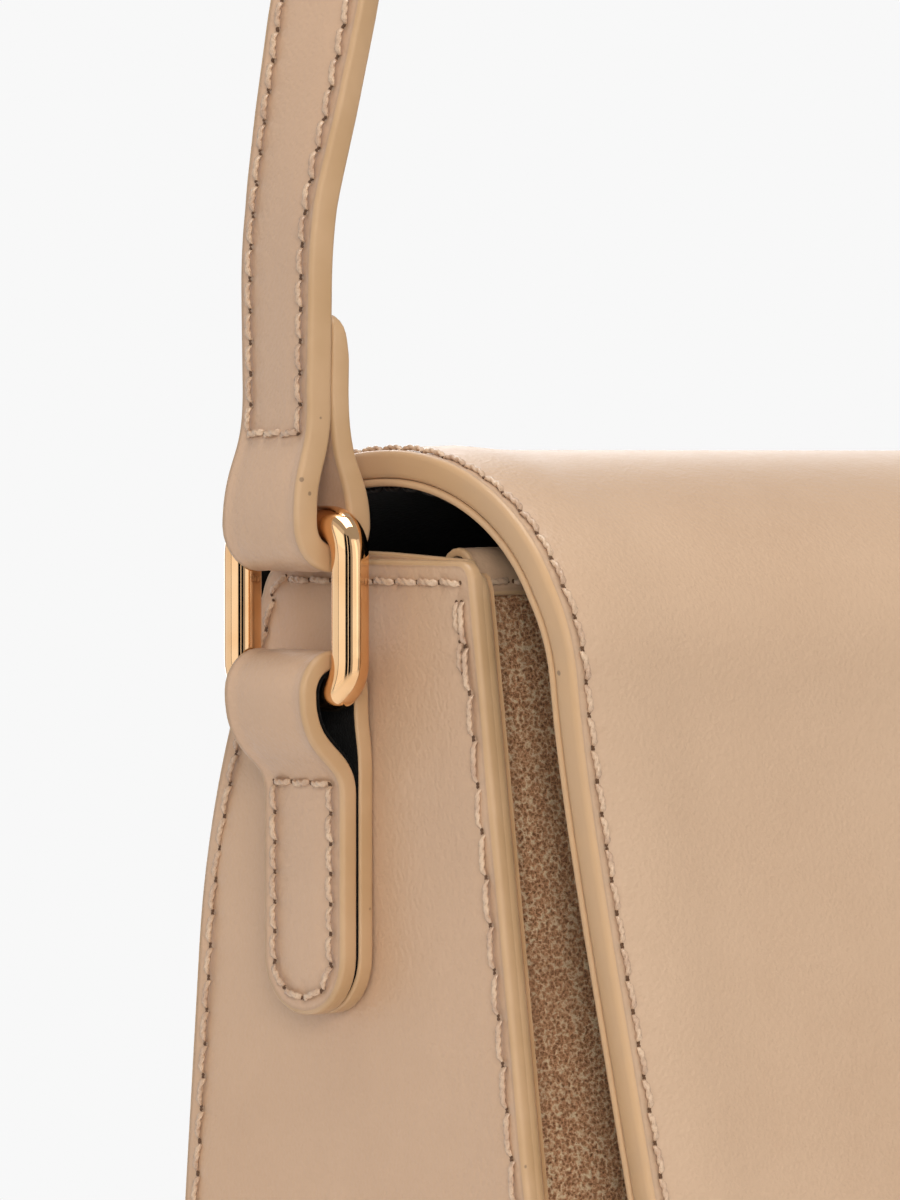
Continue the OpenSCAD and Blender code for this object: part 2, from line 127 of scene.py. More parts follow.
def left_of(line: Array, closed: bool = False) -> Array:
    """Unit vectors to the left of a line's direction at each point."""
    if closed:
        t = np.roll(line, -1, 0) - np.roll(line, 1, 0)
    else:
        t = np.gradient(line, axis=0)
    t = t / np.maximum(np.linalg.norm(t, axis=1), 1e-9)[:, None]
    return np.stack([-t[:, 1], t[:, 0]], 1)


def counterclockwise(loop: Array) -> Array:
    """The loop, turned round if it runs clockwise."""
    x, y = loop[:, 0], loop[:, 1]
    area = np.sum(x * np.roll(y, -1) - np.roll(x, -1) * y)
    return loop if area > 0 else loop[::-1]


def rounded_box(x0: float, x1: float, y0: float, y1: float, radii: Sequence[float]) -> Array:
    """A rectangle with its corners rounded, from the lower right one round counterclockwise."""
    corners = [(x1, y0, -1, 1, -90), (x1, y1, -1, -1, 0), (x0, y1, 1, -1, 90), (x0, y0, 1, 1, 180)]
    return np.vstack([oval((x + sx * r, y + sy * r), r, r, a, a + 90, 8)
                      for (x, y, sx, sy, a), r in zip(corners, radii)])


@dataclass(frozen=True)
class BagShape:
    """Sizes of the bag in millimetres, its angles in radians, and the lines that follow from them.

    They are the CAD's, but for the felt and the strap's and tab's loops, which lie closer to the ring.
    """

    length: float = 260.0
    height: float = 134.0
    base_front: float = 39.0
    mouth_front: float = 20.3
    base_back: float = 37.5
    mouth_back: float = 15.8
    back_lean: float = math.radians(5.2)
    back_top_lean: float = math.radians(21.5)
    gusset_t: float = 1.6
    panel_t: float = 1.4
    front_recess: float = 5.0
    back_recess: float = 2.5
    front_bow: float = 6.3
    flap_t: float = 4.0
    flap_half: float = 126.9
    flap_taper: float = 0.1
    flap_tip: float = 20.0
    flap_corner: float = 30.0
    flap_standoff: float = 6.5
    hinge_drop: float = 16.0
    roll_y: float = 28.45
    roll_drop: float = 4.3
    arch_rise: float = 12.5
    brow_drop: float = 13.0
    brow_set: float = 1.4
    brow_ease: float = 33.0
    low_corner: float = 4.0
    back_corner: float = 5.0
    front_corner: float = 2.5
    back_bend: float = 14.0
    wire_r: float = 2.15
    ring_h: float = 19.2
    ring_w: float = 19.6
    ring_corner: float = 3.6
    strap_y: float = 3.8
    bar_out: float = 5.6
    play: float = 0.15
    low_bar: float = 118.8
    high_bar: float = 138.0
    tab_w: float = 14.6
    tab_drop: float = 37.0
    tab_t: float = 2.2
    felt_t: float = 0.45
    felt_pressed: float = 0.34
    strap_w: float = 14.5
    strap_t: float = 3.2
    strap_in_r: float = 2.3
    strap_lean: float = math.radians(12.0)
    strap_top: float = 377.0
    skive: float = 0.8
    bend_start: float = 27.0
    bend_length: float = 13.0
    strap_out: float = 1.4
    fold_end: float = 24.0
    strap_meet: float = 14.0

    @property
    def half(self) -> float:
        """Half the bag's length."""
        return self.length / 2

    @property
    def lean(self) -> float:
        """How far the front leans back."""
        return math.atan((self.base_front - self.mouth_front) / self.height)

    @property
    def half_in(self) -> float:
        """X of the gussets' inner faces."""
        return self.half - self.gusset_t

    @property
    def bow_r(self) -> float:
        """Radius of the bowed front."""
        return (self.half_in ** 2 + self.front_bow ** 2) / (2 * self.front_bow)

    @property
    def bend(self) -> tuple[float, float]:
        """Y and Z where the back's two leaning lines meet."""
        steep, flat = math.tan(self.back_top_lean), math.tan(self.back_lean)
        z = (self.mouth_back + self.height * steep - self.base_back) / (steep - flat)
        return self.base_back - z * flat, z

    def front_y(self, z: float, out: float = 0.0) -> float:
        """Y of the front seam's plane at a height, less a distance out in front of it."""
        return -self.base_front + z * math.tan(self.lean) - out / math.cos(self.lean)

    def back_y(self, z: float) -> float:
        """Y of the gusset's back edge at a height, with its corner left sharp."""
        y, bend_z = self.bend
        if z < bend_z:
            return self.base_back - z * math.tan(self.back_lean)
        return y - (z - bend_z) * math.tan(self.back_top_lean)

    def back_edge(self) -> Array:
        """The rounded bend of the gusset's back edge."""
        y, z = self.bend
        low, high = z - self.back_bend, z + self.back_bend
        return curve2((self.back_y(low), low), (y, z), (self.back_y(high), high), 12)

    def gusset_outline(self) -> Array:
        """The gusset's outline in Y and Z, counterclockwise."""
        h, lean = self.height, math.degrees(self.lean)
        low, top = math.degrees(self.back_lean), math.degrees(self.back_top_lean)
        r, rear, front = self.low_corner, self.back_corner, self.front_corner
        rear_y = self.back_y(h - rear) - rear / math.cos(self.back_top_lean)
        return np.vstack([
            oval((self.base_back - r * (1 + math.tan(self.back_lean)), r), r, r, -90, low, 6),
            self.back_edge(),
            oval((rear_y, h - rear), rear, rear, top, 90, 8),
            oval((self.front_y(h - front, -front), h - front), front, front, 90, 180 - lean, 6),
            oval((self.front_y(r, -r), r), r, r, 180 - lean, 270, 6)])

    def back_line(self, depth: float, z0: float, z1: float) -> Array:
        """A line down the back wall at a depth inside the gusset's back edge."""
        edge = np.vstack([[self.back_y(-1), -1], self.back_edge(), [self.back_y(140), 140]])
        z = np.linspace(z1, z0, 60)
        return np.stack([np.interp(z, edge[:, 1], edge[:, 0]) - depth, z], 1)

    def flap_line(self) -> Array:
        """The flap's outer line in Y and Z, from its fold over the top to its tip."""
        hinge_z, roll_z = self.height - self.hinge_drop, self.height - self.roll_drop
        arch_z, brow_z = self.height + self.arch_rise, self.height - self.brow_drop
        hinge_y, out = self.back_y(hinge_z) - self.back_recess, self.flap_standoff + self.flap_t
        roll_y, brow_y = self.roll_y, self.front_y(brow_z, out) - self.brow_set
        mid, ease_z = (roll_y + brow_y) / 2, brow_z - self.brow_ease
        bulge_z = hinge_z + 0.6 * (roll_z - hinge_z)
        return resample(np.vstack([
            curve2((hinge_y, hinge_z + 0.05), (roll_y, bulge_z), (roll_y, roll_z), 14),
            oval((mid, roll_z), roll_y - mid, arch_z - roll_z, 0, 90, 30)[1:],
            oval((mid, brow_z), mid - brow_y, arch_z - brow_z, 90, 180, 30)[1:],
            curve2((brow_y, brow_z), (brow_y, brow_z - 10), (self.front_y(ease_z, out), ease_z), 10)[1:],
            [[self.front_y(self.flap_tip, out), self.flap_tip]]]), 1.0)

    def flap_x(self, z: Array) -> Array:
        """Half the flap's width at heights, its lower corners rounded."""
        a = math.atan(self.flap_taper)
        z = np.asarray(z, float)
        plain = self.flap_half - np.maximum(0, self.height - 2 - z) * self.flap_taper
        cz = self.flap_tip + self.flap_corner
        cx = self.flap_half - (self.height - 2 - cz) * self.flap_taper - self.flap_corner / math.cos(a)
        drop = np.clip(cz - z, 0, self.flap_corner)
        turned = cx + np.sqrt(np.maximum(self.flap_corner ** 2 - drop ** 2, 0))
        return np.where(drop > self.flap_corner * math.sin(a), np.minimum(plain, turned), plain)

    def tab_line(self, d: float) -> Array:
        """The tab's line as distance out and height about the low bar, at a distance inside its middle."""
        mid = self.wire_r + self.play + self.felt_t + self.tab_t / 2
        meet = self.tab_t * 1.5 + 2 * self.felt_t * self.felt_pressed - self.bar_out
        leg = np.vstack([curve3((mid, 0), (mid, -7.5), (meet, -6.5), (meet, -11.5), 20),
                         np.stack([np.full(12, meet), np.linspace(-13, -self.tab_drop, 12)], 1)])
        flat = self.tab_t / 2 - self.bar_out
        rear = np.vstack([np.stack([np.full(14, flat), np.linspace(-self.tab_drop, -11, 14)], 1),
                          curve3((flat, -9), (flat, -5), (-mid, -5), (-mid, 0), 8)])
        return np.vstack([(rear - d * left_of(rear))[:-1], oval((0, 0), mid - d, mid - d, 180, 0, 32),
                          (leg - d * left_of(leg))[1:]])

    def strap_line(self, d: float) -> Array:
        """The strap's whole line in X and Z, at a distance outside its middle."""
        mid = self.strap_in_r + self.strap_t / 2
        p, tan = d / self.strap_t + 0.5, math.tan(self.strap_lean)
        thick = p * self.skive * self.strap_t
        x0, x1 = -self.strap_in_r - p * self.strap_t, self.strap_out - self.strap_t / 2 - 0.05 - thick
        meet = self.strap_meet
        skived = [[x1 + thick * thin, self.fold_end - down]
                  for thin, down in ((0.62, 0), (0.34, 1.2), (0.14, 2.8), (0.0, 5.0))]
        fold = np.vstack([skived, [x1, 0.5 * (self.fold_end + meet)],
                          curve3((x0, 0), (x0, 0.45 * meet), (x1, 0.4 * meet), (x1, meet), 16)[::-1]])
        t, bend, out = np.linspace(0, 1, 8), self.bend_length / 2 * tan, self.strap_out
        leg = np.vstack([
            curve3((mid, 0), (mid, 0.5 * meet), (out, 0.5 * meet), (out, meet), 16),
            np.stack([np.full(6, out), np.linspace(meet + 2, self.bend_start - 1, 6)], 1),
            np.stack([out - t * t * bend, self.bend_start + self.bend_length * t], 1)])
        loop = oval((0, 0), mid + d, mid + d, 180, 360, 32)[1:]
        near = np.vstack([fold, loop, (leg - d * left_of(leg))[1:]])
        near = np.stack([-self.half - self.bar_out - near[:, 0], self.high_bar + near[:, 1]], 1)
        lean_x = self.half + self.bar_out + out - bend
        lean_z = self.high_bar + self.bend_start + self.bend_length
        r = ((lean_x * math.cos(self.strap_lean) - (self.strap_top - lean_z) * math.sin(self.strap_lean))
             / (1 - math.sin(self.strap_lean)))
        arch = oval((0, self.strap_top - r), r + d, r + d, 180 - math.degrees(self.strap_lean), 90, 60)
        straight = near[-1] + (arch[0] - near[-1]) * np.linspace(0, 1, 40)[1:-1, None]
        half = np.vstack([near, straight, arch])
        return np.vstack([half, (half[::-1] * [-1, 1])[1:]])


SHAPE = BagShape()


# Where a sheet's points go
@dataclass(frozen=True)
class SidePlace:
    """Puts Y, Z and a distance outwards on one end of the bag."""

    side: Side
    face: float

    def __call__(self, uv: Array, h: Array) -> Array:
        """Points in millimetres; uv is Y and Z, h the distance out from the inner face."""
        return np.stack([self.side.value * (self.face + h), uv[:, 0], uv[:, 1]], 1)


@dataclass(frozen=True)
class SweepPlace:
    """Puts a distance along a line in Y and Z, a distance across and one off the line.

    Attributes:
        line: The line in Y and Z.
        sign: 1 where h is to the left of the line's direction, -1 to its right.
        shift: Where h is zero, off the line.
    """

    line: Array
    sign: float = 1.0
    shift: float = 0.0

    def __call__(self, uv: Array, h: Array) -> Array:
        """Points in millimetres; uv is along and across."""
        s = lengths(self.line)
        n = left_of(self.line) * self.sign
        at = np.clip(uv[:, 0], 0, s[-1])
        over = (uv[:, 0] - at)[:, None] * ((self.line[-1] - self.line[-2]) / (s[-1] - s[-2]))
        p = along_line(self.line, s, at) + over
        off = along_line(n, s, at)
        off /= np.linalg.norm(off, axis=1)[:, None]
        p = p + off * (h + self.shift)[:, None]
        return self.on_bag(uv[:, 1], p)

    def on_bag(self, x: Array, p: Array) -> Array:
        """X with the line's two coordinates, as points of the bag."""
        return np.stack([x, p[:, 0], p[:, 1]], 1)


class FrontPlace(SweepPlace):
    """A sweep whose line is depth and height in the frame of the bowed, leaning front."""

    def on_bag(self, x: Array, p: Array) -> Array:
        """Points of the bag, with the front's bow added to the depth."""
        s = SHAPE
        d = p[:, 0] + s.front_recess - s.front_bow + s.bow_r - np.sqrt(s.bow_r ** 2 - x ** 2)
        c, k = math.cos(s.lean), math.sin(s.lean)
        return np.stack([x, -s.base_front + d * c + p[:, 1] * k, -d * k + p[:, 1] * c], 1)


@dataclass(frozen=True)
class FloorPlace:
    """Puts X, Y and a height on the bag's floor."""

    z: float

    def __call__(self, uv: Array, h: Array) -> Array:
        """Points in millimetres; uv is X and Y."""
        return np.stack([uv[:, 0], uv[:, 1], self.z + h], 1)


@dataclass(frozen=True)
class PairPlace:
    """Puts points between two lines in X and Z that run side by side, as the strap's faces do.

    Attributes:
        inner: The inner face's line.
        outer: The outer face's line, with as many points.
        t: The thickness between them where it is full.
        twist: Angle about the upright in degrees at each height, for the strap's legs.
    """

    inner: Array
    outer: Array
    t: float
    twist: Optional[tuple[Sequence[float], Sequence[float]]] = None

    @property
    def total(self) -> float:
        """Length of the middle line."""
        return float(lengths((self.inner + self.outer) / 2)[-1])

    def __call__(self, uv: Array, h: Array) -> Array:
        """Points in millimetres; uv is along and across, h from the inner face."""
        mid = (self.inner + self.outer) / 2
        s = lengths(mid)
        a, b, m = (along_line(k, s, uv[:, 0]) for k in (self.inner, self.outer, mid))
        p = a + (b - a) * (h / self.t)[:, None]
        x, y = p[:, 0], uv[:, 1]
        if self.twist:
            turn = np.radians(np.interp(m[:, 1], *self.twist)) * -np.sign(m[:, 0])
            x, y = (m[:, 0] + (p[:, 0] - m[:, 0]) * np.cos(turn) + uv[:, 1] * np.sin(turn),
                    uv[:, 1] * np.cos(turn) - (p[:, 0] - m[:, 0]) * np.sin(turn))
        return np.stack([x, y + SHAPE.strap_y, p[:, 1]], 1)


# Meshes
def mesh_object(name: str, verts: Array, faces: Sequence[Sequence[int]]) -> bpy.types.Object:
    """A smooth mesh object from points in millimetres, its normals facing out.

    Args:
        name: Object name.
        verts: Points in millimetres.
        faces: Corner indices.

    Returns:
        The object, linked into the scene.
    """
    mesh = bpy.data.meshes.new(name)
    mesh.from_pydata((np.asarray(verts, float) * MM).tolist(), [], [list(map(int, f)) for f in faces])
    bm = bmesh.new()
    bm.from_mesh(mesh)
    bmesh.ops.recalc_face_normals(bm, faces=bm.faces)
    for f in bm.faces:
        f.smooth = True
    bm.to_mesh(mesh)
    bm.free()
    mesh.set_sharp_from_angle(angle=math.radians(50))
    obj = bpy.data.objects.new(name, mesh)
    bpy.context.scene.collection.objects.link(obj)
    return obj


def bands(count: int, around: int, rings: Optional[int] = None) -> list[tuple[int, ...]]:
    """Four-cornered faces between rings of points, the last ring joined to the first if rings is count."""
    total = rings or count + 1
    return [(i * around + j, i * around + (j + 1) % around,
             (i + 1) % total * around + (j + 1) % around, (i + 1) % total * around + j)
            for i in range(count) for j in range(around)]


def set_attribute(obj: bpy.types.Object, name: str, values: Array) -> None:
    """Writes one float per vertex."""
    obj.data.attributes.new(name, "FLOAT", "POINT").data.foreach_set("value", values.astype(np.float32))


def tube(name: str, line: Array, across: Array, radius: float) -> bpy.types.Object:
    """A closed round tube along a closed line.

    Args:
        name: Object name.
        line: Closed line of points in millimetres.
        across: The unit vector at right angles to the line's plane.
        radius: Wire radius.

    Returns:
        The tube.
    """
    sides = 40
    t = np.roll(line, -1, 0) - np.roll(line, 1, 0)
    t /= np.linalg.norm(t, axis=1)[:, None]
    n = np.cross(t, across)
    a = np.linspace(0, 2 * math.pi, sides, endpoint=False)
    verts = (line[:, None] + radius * (np.cos(a)[None, :, None] * n[:, None]
                                       + np.sin(a)[None, :, None] * across[None, None])).reshape(-1, 3)
    return mesh_object(name, verts, bands(len(line), sides, len(line)))


def bead(t: float, outer: float = 0.5, inner: float = 0.4) -> list[tuple[float, float]]:
    """A rounded edge's section as inset and height, from the outer face to the inner one."""
    a = np.radians([90, 68, 46, 24, 0])
    top = [(outer * (1 - math.cos(k)), t - outer * (1 - math.sin(k))) for k in a]
    low = [(inner * (1 - math.cos(k)), inner * (1 - math.sin(k))) for k in a[::-1]]
    return top + low


@dataclass
class Sheet:
    """A sheet of leather, suede or cloth: a flat outline with thickness and rounded edges.

    Attributes:
        name: Piece name.
        outline: Closed outline in the sheet's own plane.
        place: Where a point of the plane and a height go on the bag.
        t: Thickness.
        step: Spacing of points along the edge.
        cell: Spacing of points inside.
        rings: Distances from the edge of the extra rows that carry the puckers.
        relief: Height added to the outer face for (uv, edge distance, distance along).
        edge: The rounded edge's section, where it isn't the usual bead.
    """

    name: str
    outline: Array
    place: Place
    t: float
    step: float = 1.2
    cell: float = 5.0
    rings: Sequence[float] = ()
    relief: Optional[Callable[[Array, Array, Array], Array]] = None
    edge: Optional[list[tuple[float, float]]] = None
    loop: Array = field(init=False)

    def __post_init__(self) -> None:
        """Spaces the outline's points evenly."""
        self.loop = resample(counterclockwise(self.outline), self.step, closed=True)

    def offset(self, inset: float) -> Array:
        """The outline moved inwards."""
        return self.loop + inset * left_of(self.loop, closed=True)

    def to_edge(self, uv: Array) -> tuple[Array, Array]:
        """Distance to the edge, and distance along it of the nearest point."""
        far, near = np.empty(len(uv)), np.empty(len(uv))
        s = lengths(self.loop)
        for i in range(0, len(uv), CHUNK):
            d = np.linalg.norm(uv[i:i + CHUNK, None] - self.loop[None], axis=2)
            k = d.argmin(1)
            a, b = self.loop[k - 1], self.loop[(k + 1) % len(self.loop)]
            t = (b - a) / np.maximum(np.linalg.norm(b - a, axis=1), 1e-9)[:, None]
            rel = uv[i:i + CHUNK] - self.loop[k]
            far[i:i + CHUNK] = np.abs(rel[:, 0] * t[:, 1] - rel[:, 1] * t[:, 0])
            near[i:i + CHUNK] = s[k] + np.sum(rel * t, axis=1)
        return far, near

    def inside(self, uv: Array) -> Array:
        """Which points lie inside the outline."""
        x, y = self.loop[:, 0], self.loop[:, 1]
        x2, y2 = np.roll(x, -1), np.roll(y, -1)
        out = np.zeros(len(uv), bool)
        for i in range(0, len(uv), CHUNK):
            px, py = uv[i:i + CHUNK, :1], uv[i:i + CHUNK, 1:]
            cross = ((y > py) != (y2 > py)) & (px < (x2 - x) * (py - y) / np.where(y2 == y, 1e-9, y2 - y) + x)
            out[i:i + CHUNK] = cross.sum(1) % 2 == 1
        return out

    def build(self) -> bpy.types.Object:
        """The sheet's mesh, with its distance from the edge as an attribute."""
        section = self.edge or bead(self.t)
        rim = self.offset(section[0][0])
        n = len(rim)
        points = [rim]
        limit = section[0][0]
        for r in self.rings:
            ring = self.offset(r)
            far, _ = self.to_edge(ring)
            points.append(ring[self.inside(ring) & (far > r - 0.12)])
            limit = r
        lo, hi = self.loop.min(0), self.loop.max(0)
        nx, ny = (max(2, int(w / self.cell)) for w in hi - lo)
        gx, gy = np.meshgrid(np.linspace(lo[0], hi[0], nx), np.linspace(lo[1], hi[1], ny))
        gx = gx + (np.arange(ny)[:, None] % 2) * (hi[0] - lo[0]) / nx / 2
        grid = np.stack([gx.ravel(), gy.ravel()], 1)
        grid = grid[self.inside(grid)]
        if len(grid):
            far, _ = self.to_edge(grid)
            points.append(grid[far > limit + min(0.45 * self.cell, 1.6)])
        uv = np.vstack(points)
        edges = [(i, (i + 1) % n) for i in range(n)]
        out, _, tris, source, _, _ = delaunay_2d_cdt([Vector(p) for p in uv], edges, [], 1, 1e-6)
        uv = np.array([tuple(p) for p in out])
        where = {o: i for i, olds in enumerate(source) for o in olds}
        ring_ids = np.array([where[i] for i in range(n)])
        far, near = self.to_edge(uv)
        m = len(uv)
        top_h, low_h = np.full(m, section[0][1]), np.full(m, section[-1][1])
        if self.relief:
            top_h = top_h + self.relief(uv, far, near)
        verts = [self.place(uv, top_h), self.place(uv, low_h)]
        rows, edge_mm = [ring_ids], [far, far]
        for k, (inset, h) in enumerate(section[1:-1]):
            verts.append(self.place(self.offset(inset), np.full(n, h)))
            rows.append(2 * m + k * n + np.arange(n))
            edge_mm.append(np.zeros(n))
        rows.append(m + ring_ids)
        faces = [tuple(t) for t in tris] + [tuple(m + i for i in reversed(t)) for t in tris]
        for a, b in zip(rows, rows[1:]):
            faces += [(a[i], b[i], b[(i + 1) % n], a[(i + 1) % n]) for i in range(n)]
        obj = mesh_object(self.name, np.vstack(verts), faces)
        set_attribute(obj, "edge_mm", np.concatenate(edge_mm))
        return obj


# Stitches
@dataclass
class Seam:
    """A row of stitches along a line in a sheet's plane.

    Attributes:
        place: The sheet's placing.
        line: The row's line in the sheet's plane.
        height: Height of the face that the row lies on.
        pitch: Length from one stitch to the next.
        inner: Whether the row lies on the sheet's inner face.
    """

    place: Place
    line: Array
    height: float
    pitch: float
    inner: bool = False

    @property
    def count(self) -> int:
        """How many stitches the row has."""
        return max(1, int(round(lengths(self.line)[-1] / self.pitch)))

    def points(self) -> tuple[Array, Array, Array]:
        """Middle, direction and upward vector of each stitch."""
        s = lengths(self.line)
        n = self.count
        at = (np.arange(n) + 0.5) * (s[-1] / n)

        def on(a: Array, h: float) -> Array:
            return self.place(along_line(self.line, s, a), np.full(len(a), h))

        lift = -1.0 if self.inner else 1.0
        middle = on(at, self.height)
        along = on(np.minimum(at + 0.8, s[-1]), self.height) - on(np.maximum(at - 0.8, 0), self.height)
        up = on(at, self.height + 0.2 * lift) - middle
        return middle, along, up


def stitch_mesh(name: str, pitch: float, radius: float) -> bpy.types.Object:
    """One stitch of two-ply thread that dives into the leather at both ends."""
    around, steps = 12, 19
    half = pitch * 0.5 - 0.25
    verts = []
    for i in range(steps):
        x = -half + 2 * half * i / (steps - 1)
        q = abs(x / half)
        z = 0.30 * (1 - q ** 5) - 0.62 * max(0.0, q - 0.62) ** 1.4
        r = radius * (1.0 - 0.30 * q ** 6)
        for j in range(around):
            a = 2 * math.pi * j / around
            lobe = 0.58 + 0.42 * abs(math.cos(a - x * 2.9))
            verts.append((x, r * lobe * math.cos(a), z + 0.82 * r * lobe * math.sin(a)))
    faces = bands(steps - 1, around)
    faces += [tuple(range(around)), tuple((steps - 1) * around + j for j in reversed(range(around)))]
    return mesh_object(name, np.array(verts), faces)


def hole_mesh(name: str, pitch: float) -> bpy.types.Object:
    """The two pricked holes at a stitch's ends, as shallow dark lenses of painted shade for the holes' depth.
    """
    verts, faces, around = [], [], 14
    for end in (-1, 1):
        base, middle = len(verts), end * (pitch * 0.5 - 0.16)
        verts += [(middle + 0.24 * math.cos(2 * math.pi * j / around),
                   0.27 * math.sin(2 * math.pi * j / around), -0.03) for j in range(around)]
        verts += [(middle, 0, 0.05), (middle, 0, -0.3)]
        for j in range(around):
            k = (j + 1) % around
            faces += [(base + j, base + k, base + around), (base + k, base + j, base + around + 1)]
    return mesh_object(name, np.array(verts), faces)


def repeat_tree() -> bpy.types.NodeTree:
    """Geometry nodes that put one object on every point, turned by the points' own vectors."""
    tree = bpy.data.node_groups.new("Stitch row", "GeometryNodeTree")
    face = tree.interface
    for name, kind in (("Geometry", "NodeSocketGeometry"), ("Stitch", "NodeSocketObject"),
                       ("Slant", "NodeSocketFloat"), ("Scatter", "NodeSocketFloat"),
                       ("Seed", "NodeSocketInt"), ("Finish", "NodeSocketMaterial")):
        face.new_socket(name, in_out="INPUT", socket_type=kind)
    face.new_socket("Geometry", in_out="OUTPUT", socket_type="NodeSocketGeometry")

    def add(kind: str, **props: object) -> bpy.types.Node:
        node = tree.nodes.new(kind)
        for key, value in props.items():
            setattr(node, key, value)
        return node

    def link(a: bpy.types.NodeSocket, b: bpy.types.NodeSocket) -> None:
        tree.links.new(a, b)

    start, end = add("NodeGroupInput"), add("NodeGroupOutput")
    along = add("GeometryNodeInputNamedAttribute", data_type="FLOAT_VECTOR")
    along.inputs["Name"].default_value = "along"
    up = add("GeometryNodeInputNamedAttribute", data_type="FLOAT_VECTOR")
    up.inputs["Name"].default_value = "up"
    axes = add("FunctionNodeAxesToRotation", primary_axis="Z", secondary_axis="X")
    link(up.outputs["Attribute"], axes.inputs[0])
    link(along.outputs["Attribute"], axes.inputs[1])
    spread = add("ShaderNodeMath", operation="MULTIPLY")
    spread.inputs[1].default_value = -1.0
    link(start.outputs["Scatter"], spread.inputs[0])
    turn = add("FunctionNodeRandomValue", data_type="FLOAT")
    link(spread.outputs[0], turn.inputs[2])
    link(start.outputs["Scatter"], turn.inputs[3])
    link(start.outputs["Seed"], turn.inputs["Seed"])
    total = add("ShaderNodeMath", operation="ADD")
    link(start.outputs["Slant"], total.inputs[0])
    link(turn.outputs[1], total.inputs[1])
    vec = add("ShaderNodeCombineXYZ")
    link(total.outputs[0], vec.inputs[2])
    euler = add("FunctionNodeEulerToRotation")
    link(vec.outputs[0], euler.inputs[0])
    rotate = add("FunctionNodeRotateRotation", rotation_space="LOCAL")
    link(axes.outputs[0], rotate.inputs[0])
    link(euler.outputs[0], rotate.inputs[1])
    size = add("FunctionNodeRandomValue", data_type="FLOAT")
    size.inputs[2].default_value, size.inputs[3].default_value = 0.95, 1.05
    link(start.outputs["Seed"], size.inputs["Seed"])
    info = add("GeometryNodeObjectInfo", transform_space="ORIGINAL")
    link(start.outputs["Stitch"], info.inputs["Object"])
    spots = add("GeometryNodeMeshToPoints", mode="VERTICES")
    put = add("GeometryNodeInstanceOnPoints")
    link(start.outputs["Geometry"], spots.inputs["Mesh"])
    link(spots.outputs[0], put.inputs["Points"])
    link(info.outputs["Geometry"], put.inputs["Instance"])
    link(rotate.outputs[0], put.inputs["Rotation"])
    link(size.outputs[1], put.inputs["Scale"])
    real = add("GeometryNodeRealizeInstances")
    dress = add("GeometryNodeSetMaterial")
    link(put.outputs[0], real.inputs[0])
    link(real.outputs[0], dress.inputs["Geometry"])
    link(start.outputs["Finish"], dress.inputs["Material"])
    link(dress.outputs[0], end.inputs[0])
    return tree


@dataclass
class Sewing:
    """Lays thread and pricked holes along seams."""

    tree: bpy.types.NodeTree
    thread: bpy.types.Material
    hole: bpy.types.Material
    seed: int = 7

    def _repeat(self, name: str, unit: bpy.types.Object, data: tuple[Array, Array, Array],
                finish: bpy.types.Material, slant: float, scatter: float) -> bpy.types.Object:
        """Runs the geometry nodes once and keeps the result as a plain mesh."""
        middle, along, up = data
        mesh = bpy.data.meshes.new(name + ".points")
        mesh.from_pydata((middle * MM).tolist(), [], [])
        for word, values in (("along", along), ("up", up)):
            mesh.attributes.new(word, "FLOAT_VECTOR", "POINT").data.foreach_set(
                "vector", values.astype(np.float32).ravel())
        carrier = bpy.data.objects.new(name + ".carrier", mesh)
        bpy.context.scene.collection.objects.link(carrier)
        mod = carrier.modifiers.new("row", "NODES")
        mod.node_group = self.tree
        values = {"Stitch": unit, "Slant": math.radians(slant), "Scatter": math.radians(scatter),
                  "Seed": self.seed, "Finish": finish}
        for item in self.tree.interface.items_tree:
            if item.in_out == "INPUT" and item.name in values:
                mod[item.identifier] = values[item.name]
        self.seed += 1
        dg = bpy.context.evaluated_depsgraph_get()
        made = bpy.data.meshes.new_from_object(carrier.evaluated_get(dg), depsgraph=dg)
        made.name = name
        bpy.data.objects.remove(carrier)
        bpy.data.meshes.remove(mesh)
        made.materials.clear()
        made.materials.append(finish)
        made.polygons.foreach_set("use_smooth", [True] * len(made.polygons))
        obj = bpy.data.objects.new(name, made)
        bpy.context.scene.collection.objects.link(obj)
        return obj

    def sew(self, name: str, body: str, seams: Sequence[Seam], radius: float = 0.42,
            slant: float = 4.0, thread: Optional[bpy.types.Material] = None) -> None:
        """Sews seams of one pitch as two pieces, thread and holes.

        Args:
            name: Piece name; the holes get "_holes" after it.
            body: CAD body that they ride on.
            seams: The rows.
            radius: The thread's radius.
            slant: How far each stitch turns from the row, in degrees.
            thread: The thread's material, where it isn't the usual one.
        """
        data = tuple(np.vstack(k) for k in zip(*(s.points() for s in seams)))
        pitch = seams[0].pitch
        stitch, pricks = stitch_mesh("unit", pitch, radius), hole_mesh("unit", pitch)
        for word, unit, finish, angle, scatter in (("", stitch, thread or self.thread, slant, 3.0),
                                                   ("_holes", pricks, self.hole, 0.0, 0.0)):
            obj = self._repeat(name + word, unit, data, finish, angle, scatter)
            bpy.data.objects.remove(unit)
            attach(obj, body)


# Finishes
def srgb(code: str) -> tuple[float, float, float, float]:
    """A hex colour as linear RGBA."""
    parts = [int(code[i:i + 2], 16) / 255 for i in (1, 3, 5)]
    return (*(c / 12.92 if c <= 0.04045 else ((c + 0.055) / 1.055) ** 2.4 for c in parts), 1.0)


